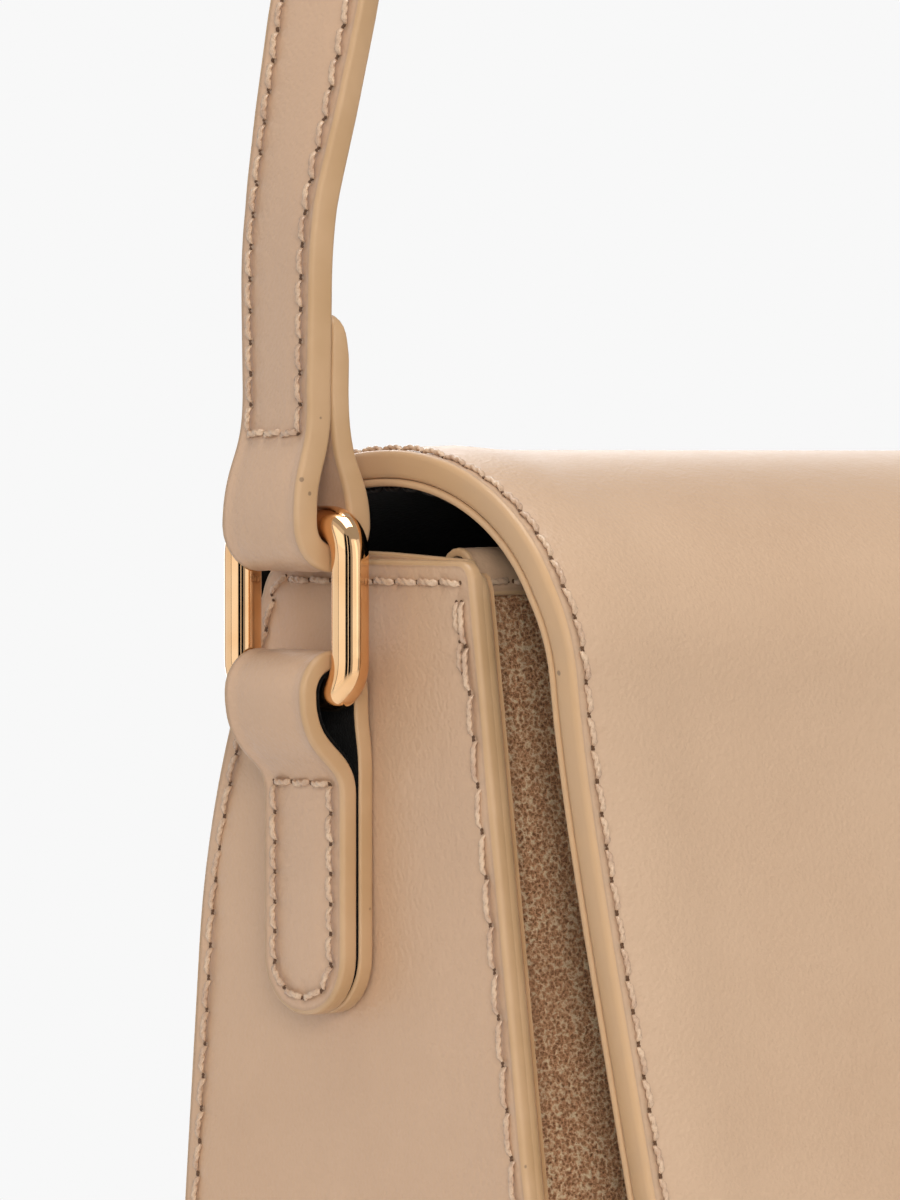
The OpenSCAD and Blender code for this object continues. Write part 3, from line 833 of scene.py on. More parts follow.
class Nodes:
    """A small helper that adds and joins shader nodes in one material."""

    def __init__(self, name: str) -> None:
        """Makes the material with a Principled surface."""
        self.material = bpy.data.materials.new(name)
        self.material.use_nodes = True
        self.tree = self.material.node_tree
        self.surface = next(n for n in self.tree.nodes if n.type == "BSDF_PRINCIPLED")
        self._coords: Optional[bpy.types.NodeSocket] = None

    def add(self, kind: str, inputs: Optional[dict] = None, **props: object) -> bpy.types.Node:
        """Adds a node; inputs are links or constants by socket name or number."""
        node = self.tree.nodes.new(kind)
        for key, value in props.items():
            setattr(node, key, value)
        for key, value in (inputs or {}).items():
            if isinstance(value, bpy.types.NodeSocket):
                self.tree.links.new(value, node.inputs[key])
            else:
                node.inputs[key].default_value = value
        return node

    def math(self, how: str, a: object, b: object = 0.0) -> bpy.types.NodeSocket:
        """One step of arithmetic."""
        return self.add("ShaderNodeMath", {0: a, 1: b}, operation=how).outputs[0]

    def object_mm(self) -> bpy.types.NodeSocket:
        """Object coordinates in millimetres."""
        if self._coords is None:
            coords = self.add("ShaderNodeTexCoord").outputs["Object"]
            scaled = self.add("ShaderNodeVectorMath", {0: coords, 3: 1000.0}, operation="SCALE")
            self._coords = scaled.outputs[0]
        return self._coords

    def noise(self, size_mm: float, detail: float = 3.0, rough: float = 0.55, distortion: float = 0.0,
              stretch: tuple[float, float, float] = (1, 1, 1)) -> bpy.types.NodeSocket:
        """Noise whose features are about that many millimetres across."""
        place = self.add("ShaderNodeMapping", {"Vector": self.object_mm(), "Scale": stretch}).outputs[0]
        return self.add("ShaderNodeTexNoise", {"Vector": place, "Scale": 1 / size_mm, "Detail": detail,
                                               "Roughness": rough, "Distortion": distortion}).outputs["Fac"]

    def cells(self, size_mm: float, warp: float = 0.0) -> bpy.types.NodeSocket:
        """Cellular distance, with cells about that many millimetres across."""
        place = self.object_mm()
        if warp:
            shift = self.add("ShaderNodeTexNoise", {"Vector": place, "Scale": 0.8 / size_mm}).outputs["Color"]
            place = self.add("ShaderNodeVectorMath", {0: shift, 1: (warp,) * 3, 2: place},
                             operation="MULTIPLY_ADD").outputs[0]
        return self.add("ShaderNodeTexVoronoi", {"Vector": place, "Scale": 1 / size_mm}).outputs["Distance"]

    def attribute(self, name: str) -> bpy.types.NodeSocket:
        """A float attribute of the mesh."""
        return self.add("ShaderNodeAttribute", attribute_name=name).outputs["Fac"]

    def ramp(self, value: object, stops: Sequence[tuple[float, str]]) -> bpy.types.NodeSocket:
        """A colour ramp of hex colours."""
        node = self.add("ShaderNodeValToRGB", {0: value})
        for i, (at, code) in enumerate(stops):
            stop = node.color_ramp.elements[i] if i < 2 else node.color_ramp.elements.new(at)
            stop.position, stop.color = at, srgb(code)
        return node.outputs[0]

    def mix(self, share: object, a: object, b: object) -> bpy.types.NodeSocket:
        """A mix of two colours, each a link or a hex colour."""
        a, b = (srgb(k) if isinstance(k, str) else k for k in (a, b))
        return self.add("ShaderNodeMix", {0: share, 6: a, 7: b}, data_type="RGBA").outputs[2]

    def span(self, value: object, low: float, high: float, to_low: float = 0.0,
             to_high: float = 1.0) -> bpy.types.NodeSocket:
        """A value carried from one span to another, clamped."""
        node = self.add("ShaderNodeMapRange", {0: value, 1: low, 2: high, 3: to_low, 4: to_high},
                        interpolation_type="SMOOTHSTEP")
        return node.outputs[0]

    def bump(self, height: object, mm: float, strength: float = 1.0,
             after: Optional[bpy.types.NodeSocket] = None) -> bpy.types.NodeSocket:
        """A bump whose full height is that many millimetres."""
        inputs = {"Height": height, "Distance": mm * MM, "Strength": strength}
        if after is not None:
            inputs["Normal"] = after
        return self.add("ShaderNodeBump", inputs).outputs[0]

    def finish(self, **sockets: object) -> bpy.types.Material:
        """Sets the surface's sockets, by name with underscores for spaces."""
        for key, value in sockets.items():
            name = key.replace("_", " ")
            if isinstance(value, bpy.types.NodeSocket):
                self.tree.links.new(value, self.surface.inputs[name])
            else:
                self.surface.inputs[name].default_value = value
        return self.material


@dataclass(frozen=True)
class Leather:
    """Smooth box leather with a very fine pebble, its cut edges painted."""

    name: str = "tan_box_leather"
    tone: str = "#C5A181"
    deep: str = "#BF9B7B"
    light: str = "#CBA787"
    paint: str = "#B8936A"
    rim_mm: float = 0.45
    gloss: float = 0.40

    def material(self) -> bpy.types.Material:
        """Leather grain, pores, cloudy dye, a smooth painted rim and a strip of painted shade just inside it.
        """
        n = Nodes(self.name)
        cloud = n.noise(26.0, 3.0, 0.5)
        mottle = n.noise(3.2, 4.0, 0.6)
        tone = n.ramp(cloud, [(0.28, self.deep), (0.72, self.light)])
        tone = n.mix(n.span(mottle, 0.35, 0.65, 0.25, 0.6), tone, self.tone)
        grain = n.cells(0.62, warp=0.5)
        fine = n.noise(0.22, 2.0, 0.6)
        tone = n.mix(n.span(grain, 0.15, 0.75, 0.12, 0.0), tone, self.deep)
        edge = n.math("ADD", n.attribute("edge_mm"), n.math("MULTIPLY", n.noise(0.9, 2.0), 0.10))
        painted = n.span(edge, self.rim_mm - 0.04, self.rim_mm + 0.12, 1.0, 0.0)
        specks = n.span(n.cells(4.5, warp=2.0), 0.05, 0.075, 1.0, 0.0)
        coat = n.mix(n.span(n.noise(9.0, 3.0), 0.3, 0.7), self.paint, "#C09B74")
        coat = n.mix(n.math("MULTIPLY", specks, 0.55), coat, "#4A3527")
        colour = n.mix(painted, tone, coat)
        # Painted shade: a darker strip on the face just inside the painted rim, where the face meets the edge
        # and the groove between layers.
        rim_shade = n.span(edge, 0.72, 1.1, 0.35, 0.0)
        colour = n.mix(n.math("MULTIPLY", rim_shade, n.math("SUBTRACT", 1.0, painted)), colour, "#9A7556")
        rough = n.math("ADD", n.math("MULTIPLY", n.noise(1.6, 3.0), 0.16), self.gloss - 0.06)
        rough = n.math("ADD", rough, n.math("MULTIPLY", painted, -0.06))
        face = n.math("SUBTRACT", 1.0, painted)
        normal = n.bump(n.math("MULTIPLY", n.math("POWER", grain, 0.7), face), 0.075, 0.85)
        normal = n.bump(n.math("MULTIPLY", fine, face), 0.02, 0.6, after=normal)
        normal = n.bump(n.noise(5.5, 3.0, 0.5), 0.12, 0.5, after=normal)
        return n.finish(Base_Color=colour, Roughness=rough, Normal=normal, IOR=1.5, Specular_IOR_Level=0.5,
                        Sheen_Weight=0.04, Sheen_Roughness=0.5)


@dataclass(frozen=True)
class Suede:
    """Split suede with a short curly nap."""

    name: str = "taupe_split_suede"
    pit: str = "#623822"
    tone: str = "#DA9B6E"
    tip: str = "#FFE0B4"

    def material(self) -> bpy.types.Material:
        """Curly cells, fibres, brushed patches and painted shade darkening towards the edges."""
        n = Nodes(self.name)
        curl = n.cells(0.5, warp=0.9)
        small = n.noise(0.3, 4.0, 0.7, 1.0, (0.7, 0.7, 1.5))
        patch = n.noise(14.0, 3.0, 0.55)
        height = n.math("ADD", n.math("MULTIPLY", curl, 0.55), n.math("MULTIPLY", small, 0.65))
        colour = n.ramp(height, [(0.33, self.pit), (0.60, self.tone), (0.78, self.tip)])
        colour = n.mix(n.span(patch, 0.3, 0.7, 0.0, 0.3), colour, "#B98662")
        # Painted shade: the suede darkens towards its edges, standing in for the recess beside the seams.
        deep = n.span(n.attribute("edge_mm"), 0.6, 3.0, 0.85, 0.0)
        colour = n.mix(deep, colour, "#241910")
        normal = n.bump(height, 0.6, 1.0)
        normal = n.bump(n.noise(0.14, 2.0, 0.7), 0.12, 0.8, after=normal)
        return n.finish(Base_Color=colour, Roughness=0.97, Normal=normal, Specular_IOR_Level=0.15,
                        Sheen_Weight=0.2, Sheen_Roughness=0.45, Sheen_Tint=srgb("#E7C29C"))


@dataclass(frozen=True)
class Thread:
    """Waxed linen thread."""

    name: str = "beige_waxed_thread"
    tone: str = "#B89578"

    def material(self) -> bpy.types.Material:
        """Thread with fine fibres and a slight change of tone."""
        n = Nodes(self.name)
        colour = n.mix(n.span(n.noise(2.6, 2.0), 0.3, 0.7), self.tone, "#D0B090")
        colour = n.mix(n.span(n.noise(0.25, 2.0), 0.25, 0.5, 0.4, 0.0), colour, "#8A684B")
        return n.finish(Base_Color=colour, Roughness=0.26, Sheen_Weight=0.1,
                        Normal=n.bump(n.noise(0.13, 2.0, 0.6), 0.05, 0.7), Specular_IOR_Level=0.9)


@dataclass(frozen=True)
class Plain:
    """A plain matt or slightly glossy finish with a little variation."""

    name: str
    tone: str
    other: str
    rough: float = 0.9
    grain_mm: float = 0.8
    relief_mm: float = 0.08
    sheen: float = 0.0
    metallic: float = 0.0
    specular: float = 0.5

    def material(self) -> bpy.types.Material:
        """Two tones over fine noise, with a small bump."""
        n = Nodes(self.name)
        fine = n.noise(self.grain_mm, 3.0, 0.65)
        colour = n.mix(n.span(fine, 0.3, 0.7), self.tone, self.other)
        return n.finish(Base_Color=colour, Roughness=self.rough, Metallic=self.metallic,
                        Normal=n.bump(fine, self.relief_mm, 0.8), Sheen_Weight=self.sheen,
                        Specular_IOR_Level=self.specular)


@dataclass(frozen=True)
class Cloth:
    """Twill lining."""

    name: str = "dark_twill_lining"
    tone: str = "#3B332D"

    def material(self) -> bpy.types.Material:
        """Diagonal twill ribs."""
        n = Nodes(self.name)
        wave = n.add("ShaderNodeTexWave", {"Vector": n.object_mm(), "Scale": 0.55, "Distortion": 0.6},
                     bands_direction="DIAGONAL").outputs["Fac"]
        colour = n.mix(wave, self.tone, "#4A4038")
        return n.finish(Base_Color=colour, Roughness=0.88, Sheen_Weight=0.3,
                        Normal=n.bump(wave, 0.06, 0.8))


@dataclass(frozen=True)
class GoldPlate:
    """Polished pale gold plate with faint handling marks."""

    name: str = "polished_gold_plate"
    tone: str = "#F5CA9A"

    def material(self) -> bpy.types.Material:
        """Metal with fine marks in its roughness only."""
        n = Nodes(self.name)
        marks = n.noise(2.2, 5.0, 0.7, 0.0, (1.0, 1.0, 0.12))
        rough = n.span(marks, 0.45, 0.75, 0.055, 0.14)
        colour = n.mix(n.span(n.noise(7.0, 2.0), 0.35, 0.7), self.tone, "#EEBC88")
        return n.finish(Base_Color=colour, Metallic=1.0, Roughness=rough,
                        Normal=n.bump(n.noise(3.5, 2.0), 0.012, 0.6))


@dataclass
class Finishes:
    """Every finish of the bag, made once."""

    leather: bpy.types.Material = field(default_factory=lambda: Leather().material())
    strap: bpy.types.Material = field(default_factory=lambda: Leather(
        name="strap_box_leather", tone="#C6A283", deep="#C29E7F", light="#CAA687", rim_mm=0.55).material())
    # A paler, cooler copy of the tan leather: painted light, for the whiter light that falls on the flap.
    flap: bpy.types.Material = field(default_factory=lambda: Leather(
        name="flap_box_leather", tone="#C4A486", deep="#BE9D7F", light="#CAAA8C", paint="#C59E74").material())
    flap_lining: bpy.types.Material = field(default_factory=lambda: Leather(
        name="black_lining_painted_edge", tone="#0B0908", deep="#080706", light="#100D0B", paint="#C59E74",
        rim_mm=0.5, gloss=0.75).material())
    suede: bpy.types.Material = field(default_factory=lambda: Suede().material())
    thread: bpy.types.Material = field(default_factory=lambda: Thread().material())
    black_thread: bpy.types.Material = field(default_factory=lambda: Plain(
        "black_waxed_thread", "#14110F", "#1E1916", 0.6, 0.3, 0.03).material())
    # The holes' dark brown is painted shade standing in for their depth.
    hole: bpy.types.Material = field(default_factory=lambda: Plain(
        "pricked_hole_dark_brown", "#543822", "#6B4B32", 0.85, 0.3, 0.02).material())
    cloth: bpy.types.Material = field(default_factory=lambda: Cloth().material())
    felt: bpy.types.Material = field(default_factory=lambda: Plain(
        "black_felt", "#080706", "#12100E", 1.0, 0.3, 0.3, 0.04, 0.0, 0.08).material())
    board: bpy.types.Material = field(default_factory=lambda: Plain(
        "stiffening_board", "#B5AEA2", "#A79F92", 0.9, 1.2, 0.05).material())
    gold: bpy.types.Material = field(default_factory=lambda: GoldPlate().material())
    magnet: bpy.types.Material = field(default_factory=lambda: Plain(
        "sintered_ferrite", "#2A2A2A", "#363636", 0.6, 0.5, 0.03).material())
    steel: bpy.types.Material = field(default_factory=lambda: Plain(
        "stamped_steel", "#B9B4AB", "#A9A49B", 0.32, 0.4, 0.01, 0.0, 1.0).material())


def dress(obj: bpy.types.Object, finish: bpy.types.Material) -> bpy.types.Object:
    """Gives a piece one finish all over."""
    obj.data.materials.clear()
    obj.data.materials.append(finish)
    return obj


def fit(sheet: Sheet, body: str, finish: bpy.types.Material, slot: str, *nodes: str) -> None:
    """Builds a sheet, dresses it and puts it in the frame in place of CAD nodes.

    Args:
        sheet: What to build.
        body: CAD body that it rides on.
        finish: Its material.
        slot: Not used.
        nodes: CAD nodes that it stands for.
    """
    obj = dress(sheet.build(), finish)
    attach(obj, body)
    if nodes:
        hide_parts(*nodes)


# The bag's parts
def rows_of(sheet: Sheet, inset: float, keep: Callable[[Array], Array]) -> Array:
    """The part of a sheet's outline, moved inwards, that a row of stitches follows.

    Args:
        sheet: The sheet.
        inset: How far from the edge the row lies.
        keep: Which points of the moved outline belong to the row.

    Returns:
        The row's line, in the order of the outline.
    """
    line = sheet.offset(inset)
    far, _ = sheet.to_edge(line)
    good = keep(line) & (far > inset - 0.15)
    if not good.all():
        gaps = np.where(~good & np.roll(good, -1))[0]
        runs = [np.argmax(~np.roll(good, -(g + 1))) for g in gaps]
        first = gaps[int(np.argmax(runs))] + 1
        line, good = np.roll(line, -first, 0), np.roll(good, -first)
    return line[good]


@dataclass(frozen=True)
class Puckers:
    """Dimples round a row's holes and a soft trough along it, with slow waves beside it.

    Attributes:
        holes: The pricked holes' places in the sheet's plane.
        inset: How far from the edge the row lies.
        depth: Depth of each dimple.
        trough: Depth of the trough.
        wave: Height of the waves beside the row.
        ridge: Height, distance from the edge and width of a soft ridge along the edge.
        sag: Depth, middle and half widths of a broad hollow.
        fold: Depth of the outer face's skive by a fold at the sheet's start, where nothing else stands up.
    """

    holes: Array
    inset: float
    depth: float = 0.24
    trough: float = 0.10
    wave: float = 0.0
    ridge: tuple = (0.0, 8.0, 4.0)
    sag: tuple = (0.0, 0.0, 0.0, 1.0, 1.0)
    fold: float = 0.0

    def __call__(self, uv: Array, far: Array, near: Array) -> Array:
        """Height to add to the outer face."""
        out = -self.trough * np.exp(-((far - self.inset) / 1.1) ** 2)
        close = np.where(far < self.inset + 4)[0]
        for i in range(0, len(close), CHUNK):
            k = close[i:i + CHUNK]
            d = np.linalg.norm(uv[k, None] - self.holes[None], axis=2).min(1)
            out[k] -= self.depth * np.exp(-(d / 0.8) ** 2)
        out += self.ridge[0] * np.exp(-((far - self.ridge[1]) / self.ridge[2]) ** 2)
        depth, u, v, wide, high = self.sag
        out -= depth * np.exp(-((uv[:, 0] - u) / wide) ** 2 - ((uv[:, 1] - v) / high) ** 2)
        if self.wave:
            slow = np.sin(near / 3.1) * 0.6 + np.sin(near / 5.3 + 1.0)
            out += self.wave * slow * np.exp(-np.maximum(far - self.inset, 0) / 7.0) * np.clip(far / 2, 0, 1)
        if self.fold:
            out = out * np.clip((uv[:, 0] - 14) / 12, 0, 1) - self.fold * np.clip(1.9 - uv[:, 0] / 13, 0, 1)
        return out


def holes_on(seams: Sequence[Seam]) -> Array:
    """Places of the pricked holes in the sheet's plane."""
    out = []
    for seam in seams:
        s = lengths(seam.line)
        out.append(along_line(seam.line, s, np.linspace(0, s[-1], seam.count + 1)))
    return np.vstack(out)


@dataclass
class Gusset:
    """One end of the bag: its leather, the seams' folded flanges, its lining and facing."""

    side: Side
    finishes: Finishes
    sewing: Sewing
    inset: float = 2.5
    front_inset: float = 2.1
    pitch: float = 3.9
    front_pitch: float = 5.2
    front_band: float = 3.6

    def build(self) -> None:
        """Builds the end's sheets and sews round it."""
        s, word = SHAPE, self.side.word
        place = SidePlace(self.side, s.half_in)
        edge = bead(s.gusset_t, 0.7, 0.02)
        leather = Sheet("gusset_" + word, s.gusset_outline(), place, s.gusset_t, 0.65, 2.6,
                        (0.9, 1.4, 1.9, 2.5, 3.1, 3.9, 5.2), edge=edge)
        front = rows_of(leather, self.front_inset, lambda p: self._at_front(p, 129.6) & (p[:, 1] > 5))
        rest = rows_of(leather, self.inset, lambda p: ~self._at_front(p, 130.2) & (p[:, 1] > 3.2))
        tack = front[front[:, 1] > 120.0] + [0.9, 0.3]
        fine = [Seam(place, row, s.gusset_t, self.pitch) for row in (rest, tack)]
        coarse = [Seam(place, front, s.gusset_t, self.front_pitch)]
        hollow = (0.6, 0.0, 55.0, 22.0, 34.0)
        leather.relief = Puckers(holes_on(fine + coarse), self.inset, wave=0.16, sag=hollow)
        fit(leather, "body", self.finishes.leather, "leather", "gusset_" + word)
        self.sewing.sew(f"gusset_{word}_stitches", "body", fine, slant=5.0 * self.side.value)
        self.sewing.sew(f"gusset_{word}_front_stitches", "body", coarse, slant=5.0 * self.side.value)
        self._flanges(word)
        self._inside(word)

    def _at_front(self, p: Array, top: float) -> Array:
        """Which points lie in the band along the front edge, below a height."""
        edge = -SHAPE.base_front + p[:, 1] * math.tan(SHAPE.lean)
        return (p[:, 0] < edge + self.front_band) & (p[:, 1] < top)

    def _flanges(self, word: str) -> None:
        """The strips of front and back leather folded against the gusset, painted with its edge."""
        s, t = SHAPE, SHAPE.gusset_t
        place = SidePlace(self.side, s.half_in - t)
        edge = bead(t, 0.02, 1.1)
        z = np.linspace(0.6, 132.6, 80)
        front = np.stack([s.front_y(z), z], 1)
        front[:, 0] += np.clip(z - 131.5, 0, 5) ** 2 * 0.5 + np.clip(3.5 - z, 0, 5) ** 2 * 0.35
        strip = np.vstack([front, (front + [4.6, 0])[::-1]])
        fit(Sheet(f"front_flange_{word}", strip, place, t, 0.9, 2.0, (0.9,), edge=edge),
            "body", self.finishes.leather, "leather")
        back = s.back_line(0.0, 1.0, 117.5)
        back[:, 0] -= np.clip(3.5 - back[:, 1], 0, 5) ** 2 * 0.35
        strip = np.vstack([back, (back - [2.9, 0])[::-1]])
        fit(Sheet(f"back_flange_{word}", strip, place, t, 0.9, 2.0, (), edge=edge),
            "body", self.finishes.leather, "leather")

    def _inside(self, word: str) -> None:
        """The gusset's lining and the leather facing at its top."""
        s = SHAPE

        def outline(z0: float, z1: float) -> Array:
            z = np.linspace(z0, z1, 30)
            back = s.back_line(s.back_recess + 3.5, z0, z1)
            return np.vstack([back, np.stack([s.front_y(z) + 9.6, z], 1)])

        fit(Sheet("gusset_lining_" + word, outline(4.9, 119.0), SidePlace(self.side, s.half_in - 0.8), 0.8,
                  2.0, 8.0, edge=bead(0.8, 0.2, 0.2)), "body", self.finishes.cloth, "lining",
            "gusset_lining_" + word)
        corner = [[s.front_y(132.8) + 5.2, 132.8], [s.front_y(132.9) + 1.6, 132.9],
                  [s.front_y(134.0) + 2.2, 134.1], [-4.0, 134.8], [8.0, 135.1], [13.6, 134.6]]
        top = np.vstack([outline(119.0, 132.8)[:59], corner])
        fit(Sheet("gusset_facing_" + word, top, SidePlace(self.side, s.half_in - 1.2), 1.2, 0.8, 3.0,
                  (0.9,), edge=bead(1.2, 0.35, 0.35)), "body", self.finishes.leather, "leather",
            "gusset_facing_" + word)


@dataclass
class FrontWall:
    """The suede front with its lining, its binding and its stitches."""

    finishes: Finishes
    sewing: Sewing
    half: float = 126.2
    top_z: float = 133.5

    def build(self) -> None:
        """Builds the wall's sheets in the leaning front's frame."""
        s, half = SHAPE, self.half
        top = self.top_z / math.cos(s.lean)
        for name, depth, t, low, finish, slot in (
                ("front_panel", s.panel_t, s.panel_t, 0.6, self.finishes.suede, "suede"),
                ("front_lining", 3.2, 0.8, 5.0, self.finishes.cloth, "lining")):
            line = np.array([[depth, 0], [depth, 200.0]])
            wide = half if name == "front_panel" else half - 1.5
            box = rounded_box(low, top, -wide, wide, (1, 1, 1, 1))
            fit(Sheet(name, box, FrontPlace(line), t, 1.6, 3.2, (0.7, 1.5), edge=bead(t, 0.3, 0.2)),
                "body", finish, slot, name)
        around = np.vstack([[3.2, top - 11.5], [3.2, top + 0.6],
                            oval((1.6, top + 0.6), 1.6, 1.2, 0, 180, 12)[1:], [0.0, top - 3.0]])
        place = FrontPlace(around, sign=-1.0)
        total = float(lengths(around)[-1])
        box = rounded_box(0, total, -half - 0.4, half + 0.4, (2, 1, 1, 2))
        sheet = Sheet("front_binding", box, place, 1.0, 0.7, 0.75, (), edge=bead(1.0, 0.35, 0.2))
        row = np.stack([np.full(400, total - 1.5), np.linspace(1 - half, half - 1, 400)], 1)
        seams = [Seam(place, row, 1.0, 3.9)]
        sheet.relief = Puckers(holes_on(seams), 1.5, 0.16, 0.05)
        fit(sheet, "body", self.finishes.leather, "leather", "front_binding")
        self.sewing.sew("front_binding_stitches", "body", seams)


@dataclass
class BackWall:
    """The leather back with its lining and slip pocket."""

    finishes: Finishes
    sewing: Sewing

    def build(self) -> None:
        """Builds the wall's sheets, each along the gusset's back edge."""
        s = SHAPE
        for name, depth, t, z0, z1, half, finish, slot, radii in (
                ("back_panel", 3.9, 1.4, 0.5, 117.7, 126.2, self.finishes.leather, "leather", (1, .6, .6, 1)),
                ("back_lining", 5.7, 0.8, 5.0, 117.5, 126.0, self.finishes.cloth, "lining", (1, .6, .6, 1)),
                ("slip_pocket", 6.5, 0.8, 22.0, 92.0, 55.0, self.finishes.cloth, "lining", (6, 1, 1, 6))):
            place = SweepPlace(s.back_line(depth, z0, z1), 1.0)
            total = float(lengths(place.line)[-1])
            sheet = Sheet(name, rounded_box(0, total, -half, half, radii), place, t, 1.4, 4.0, (0.9, 1.8),
                          edge=bead(t, 0.3, 0.2))
            if name == "back_panel":
                sheet.relief = Puckers(np.zeros((1, 2)), 0.0, 0.0, 0.0, sag=(0.7, 62.0, 10.0, 38.0, 78.0))
            fit(sheet, "body", finish, slot, name)
        place = SweepPlace(s.back_line(6.5, 22.0, 92.0), 1.0, -0.8)
        hem = np.stack([np.full(200, 3.0), np.linspace(-53.5, 53.5, 200)], 1)
        self.sewing.sew("slip_pocket_stitches", "body", [Seam(place, hem, 0.75, 3.2, inner=True)], 0.22)


@dataclass
class Floor:
    """The base leather and the floor's lining."""

    finishes: Finishes
    sewing: Sewing

    def build(self) -> None:
        """Builds both sheets between the walls, their front edges bowed like the suede."""
        s = SHAPE
        for name, z, t, half, back, deep, finish, slot in (
                ("base_panel", 0.0, 2.0, 126.4, 4.2, 0.4, self.finishes.leather, "leather"),
                ("base_lining", 4.0, 0.8, 125.0, 6.2, 3.4, self.finishes.cloth, "lining")):
            x = np.linspace(-half, half, 120)
            bow = s.front_recess - s.front_bow + s.bow_r - np.sqrt(s.bow_r ** 2 - x ** 2)
            front = np.stack([x, s.front_y(z) + (bow + deep + 1.4) / math.cos(s.lean)], 1)
            rear = np.array([[half, s.back_y(z) - back], [-half, s.back_y(z) - back]])
            sheet = Sheet(name, np.vstack([front, rear]), FloorPlace(z), t, 1.6, 6.0, (0.9, 2.0),
                          edge=bead(t, 0.3, 0.3))
            fit(sheet, "body", finish, slot, name)


@dataclass
class Flap:
    """The flap: two leathers with painted edges and a groove between, sewn along the sides and the tip."""

    finishes: Finishes
    sewing: Sewing
    inset: float = 1.95
    outer_t: float = 3.3
    inner_t: float = 0.9
    wider: float = 0.85
    turn: float = 31.0
    pitch: float = 3.7

    def outline(self, line: Array) -> Array:
        """The flap's outline along and across its line."""
        s = lengths(line)
        corner = s[-1] - self.turn
        at = np.concatenate([np.linspace(0, corner, 260),
                             corner + self.turn * np.sin(np.linspace(0, math.pi / 2, 60))[1:]])
        half = SHAPE.flap_x(np.interp(at, s, line[:, 1])) + self.wider * np.clip((at - 12) / 25, 0, 1)
        right = np.stack([at, half], 1)
        return np.vstack([right, (right * [1, -1])[::-1]])

    def build(self) -> None:
        """Builds both leathers and the two faces' stitches."""
        line = SHAPE.flap_line()
        outline = self.outline(line)
        outer = SweepPlace(line, -1.0, -self.outer_t)
        inner = SweepPlace(line, -1.0, -self.outer_t - self.inner_t)
        leather = Sheet("flap_leather", outline, outer, self.outer_t, 0.75, 3.2,
                        (0.9, 1.4, 1.9, 2.4, 3.0, 4.0), edge=bead(self.outer_t, 0.8, 0.7))
        row = rows_of(leather, self.inset, lambda p: p[:, 0] > 24.0)
        seams = [Seam(outer, row, self.outer_t, self.pitch)]
        leather.relief = Puckers(holes_on(seams), self.inset, 0.22, 0.10, 0.05, (0.55, 9.0, 4.8), fold=0.4)
        fit(leather, "flap", self.finishes.flap, "leather", "flap_leather", "flap_board")
        self.sewing.sew("flap_stitches", "flap", seams, slant=5.0)
        lining = Sheet("flap_lining", outline, inner, self.inner_t, 1.0, 5.0, (0.9, 1.8, 2.6, 3.6),
                       edge=bead(self.inner_t, 0.45, 0.4))
        fit(lining, "flap", self.finishes.flap_lining, "leather", "flap_lining")
        self.sewing.sew("flap_inner_stitches", "flap", [Seam(inner, row, 0.0, self.pitch, inner=True)],
                        thread=self.finishes.black_thread)


def end_lines(side: Side, near: Array, far: Array, bar: float) -> tuple[Array, Array]:
    """Two lines of distance out and height about a bar, as X and Z at one end."""
    out = []
    for line in (near, far):
        x = side.value * (SHAPE.half + SHAPE.bar_out + line[:, 0])
        out.append(np.stack([x, bar + line[:, 1]], 1))
    return out[0], out[1]


@dataclass
class Tab:
    """The leather tab that holds a ring, lined with felt and sewn through the gusset."""

    side: Side
    finishes: Finishes
    sewing: Sewing
    inset: float = 2.2
    box_drop: float = 10.0

    def build(self) -> None:
        """Builds the leather, the felt and the box of stitches."""
        s, word = SHAPE, self.side.word
        half_t = s.tab_t / 2
        inner, outer = end_lines(self.side, s.tab_line(half_t), s.tab_line(-half_t), s.low_bar)
        place = PairPlace(inner, outer, s.tab_t)
        r, total = s.tab_w / 2, place.total
        shape = rounded_box(0, total, -r, r, (r * 0.94,) * 4)
        sheet = Sheet("tab_" + word, shape, place, s.tab_t, 0.6, 1.6, (0.9, 1.4, 1.9, 2.4, 3.0),
                      edge=bead(s.tab_t, 0.55, 0.4))
        low = total - s.tab_drop + self.box_drop
        box = rows_of(sheet, self.inset, lambda p: p[:, 0] > low)
        across = np.stack([np.full(20, low), np.linspace(self.inset - r, r - self.inset, 20)], 1)
        seams = [Seam(place, box, s.tab_t, 3.5), Seam(place, across, s.tab_t, 3.4)]
        sheet.relief = Puckers(holes_on(seams), self.inset, 0.26, 0.22)
        fit(sheet, "body", self.finishes.strap, "leather", "tab_" + word)
        self.sewing.sew(f"tab_{word}_stitches", "body", seams, slant=4.0)
        inner, outer = end_lines(self.side, s.tab_line(half_t + s.felt_t), s.tab_line(half_t), s.low_bar)
        height = outer[:, 1] - s.low_bar
        inner = outer + np.clip((height + 10.5) / 5, s.felt_pressed, 1)[:, None] * (inner - outer)
        felt = PairPlace(inner, outer, s.felt_t)
        shape = rounded_box(0.6, felt.total - 0.6, -r + 0.15, r - 0.15, (r * 0.9,) * 4)
        fit(Sheet("tab_felt_" + word, shape, felt, s.felt_t, 0.8, 2.0, (), edge=bead(s.felt_t, 0.2, 0.2)),
            "body", self.finishes.felt, "felt", "tab_felt_" + word)


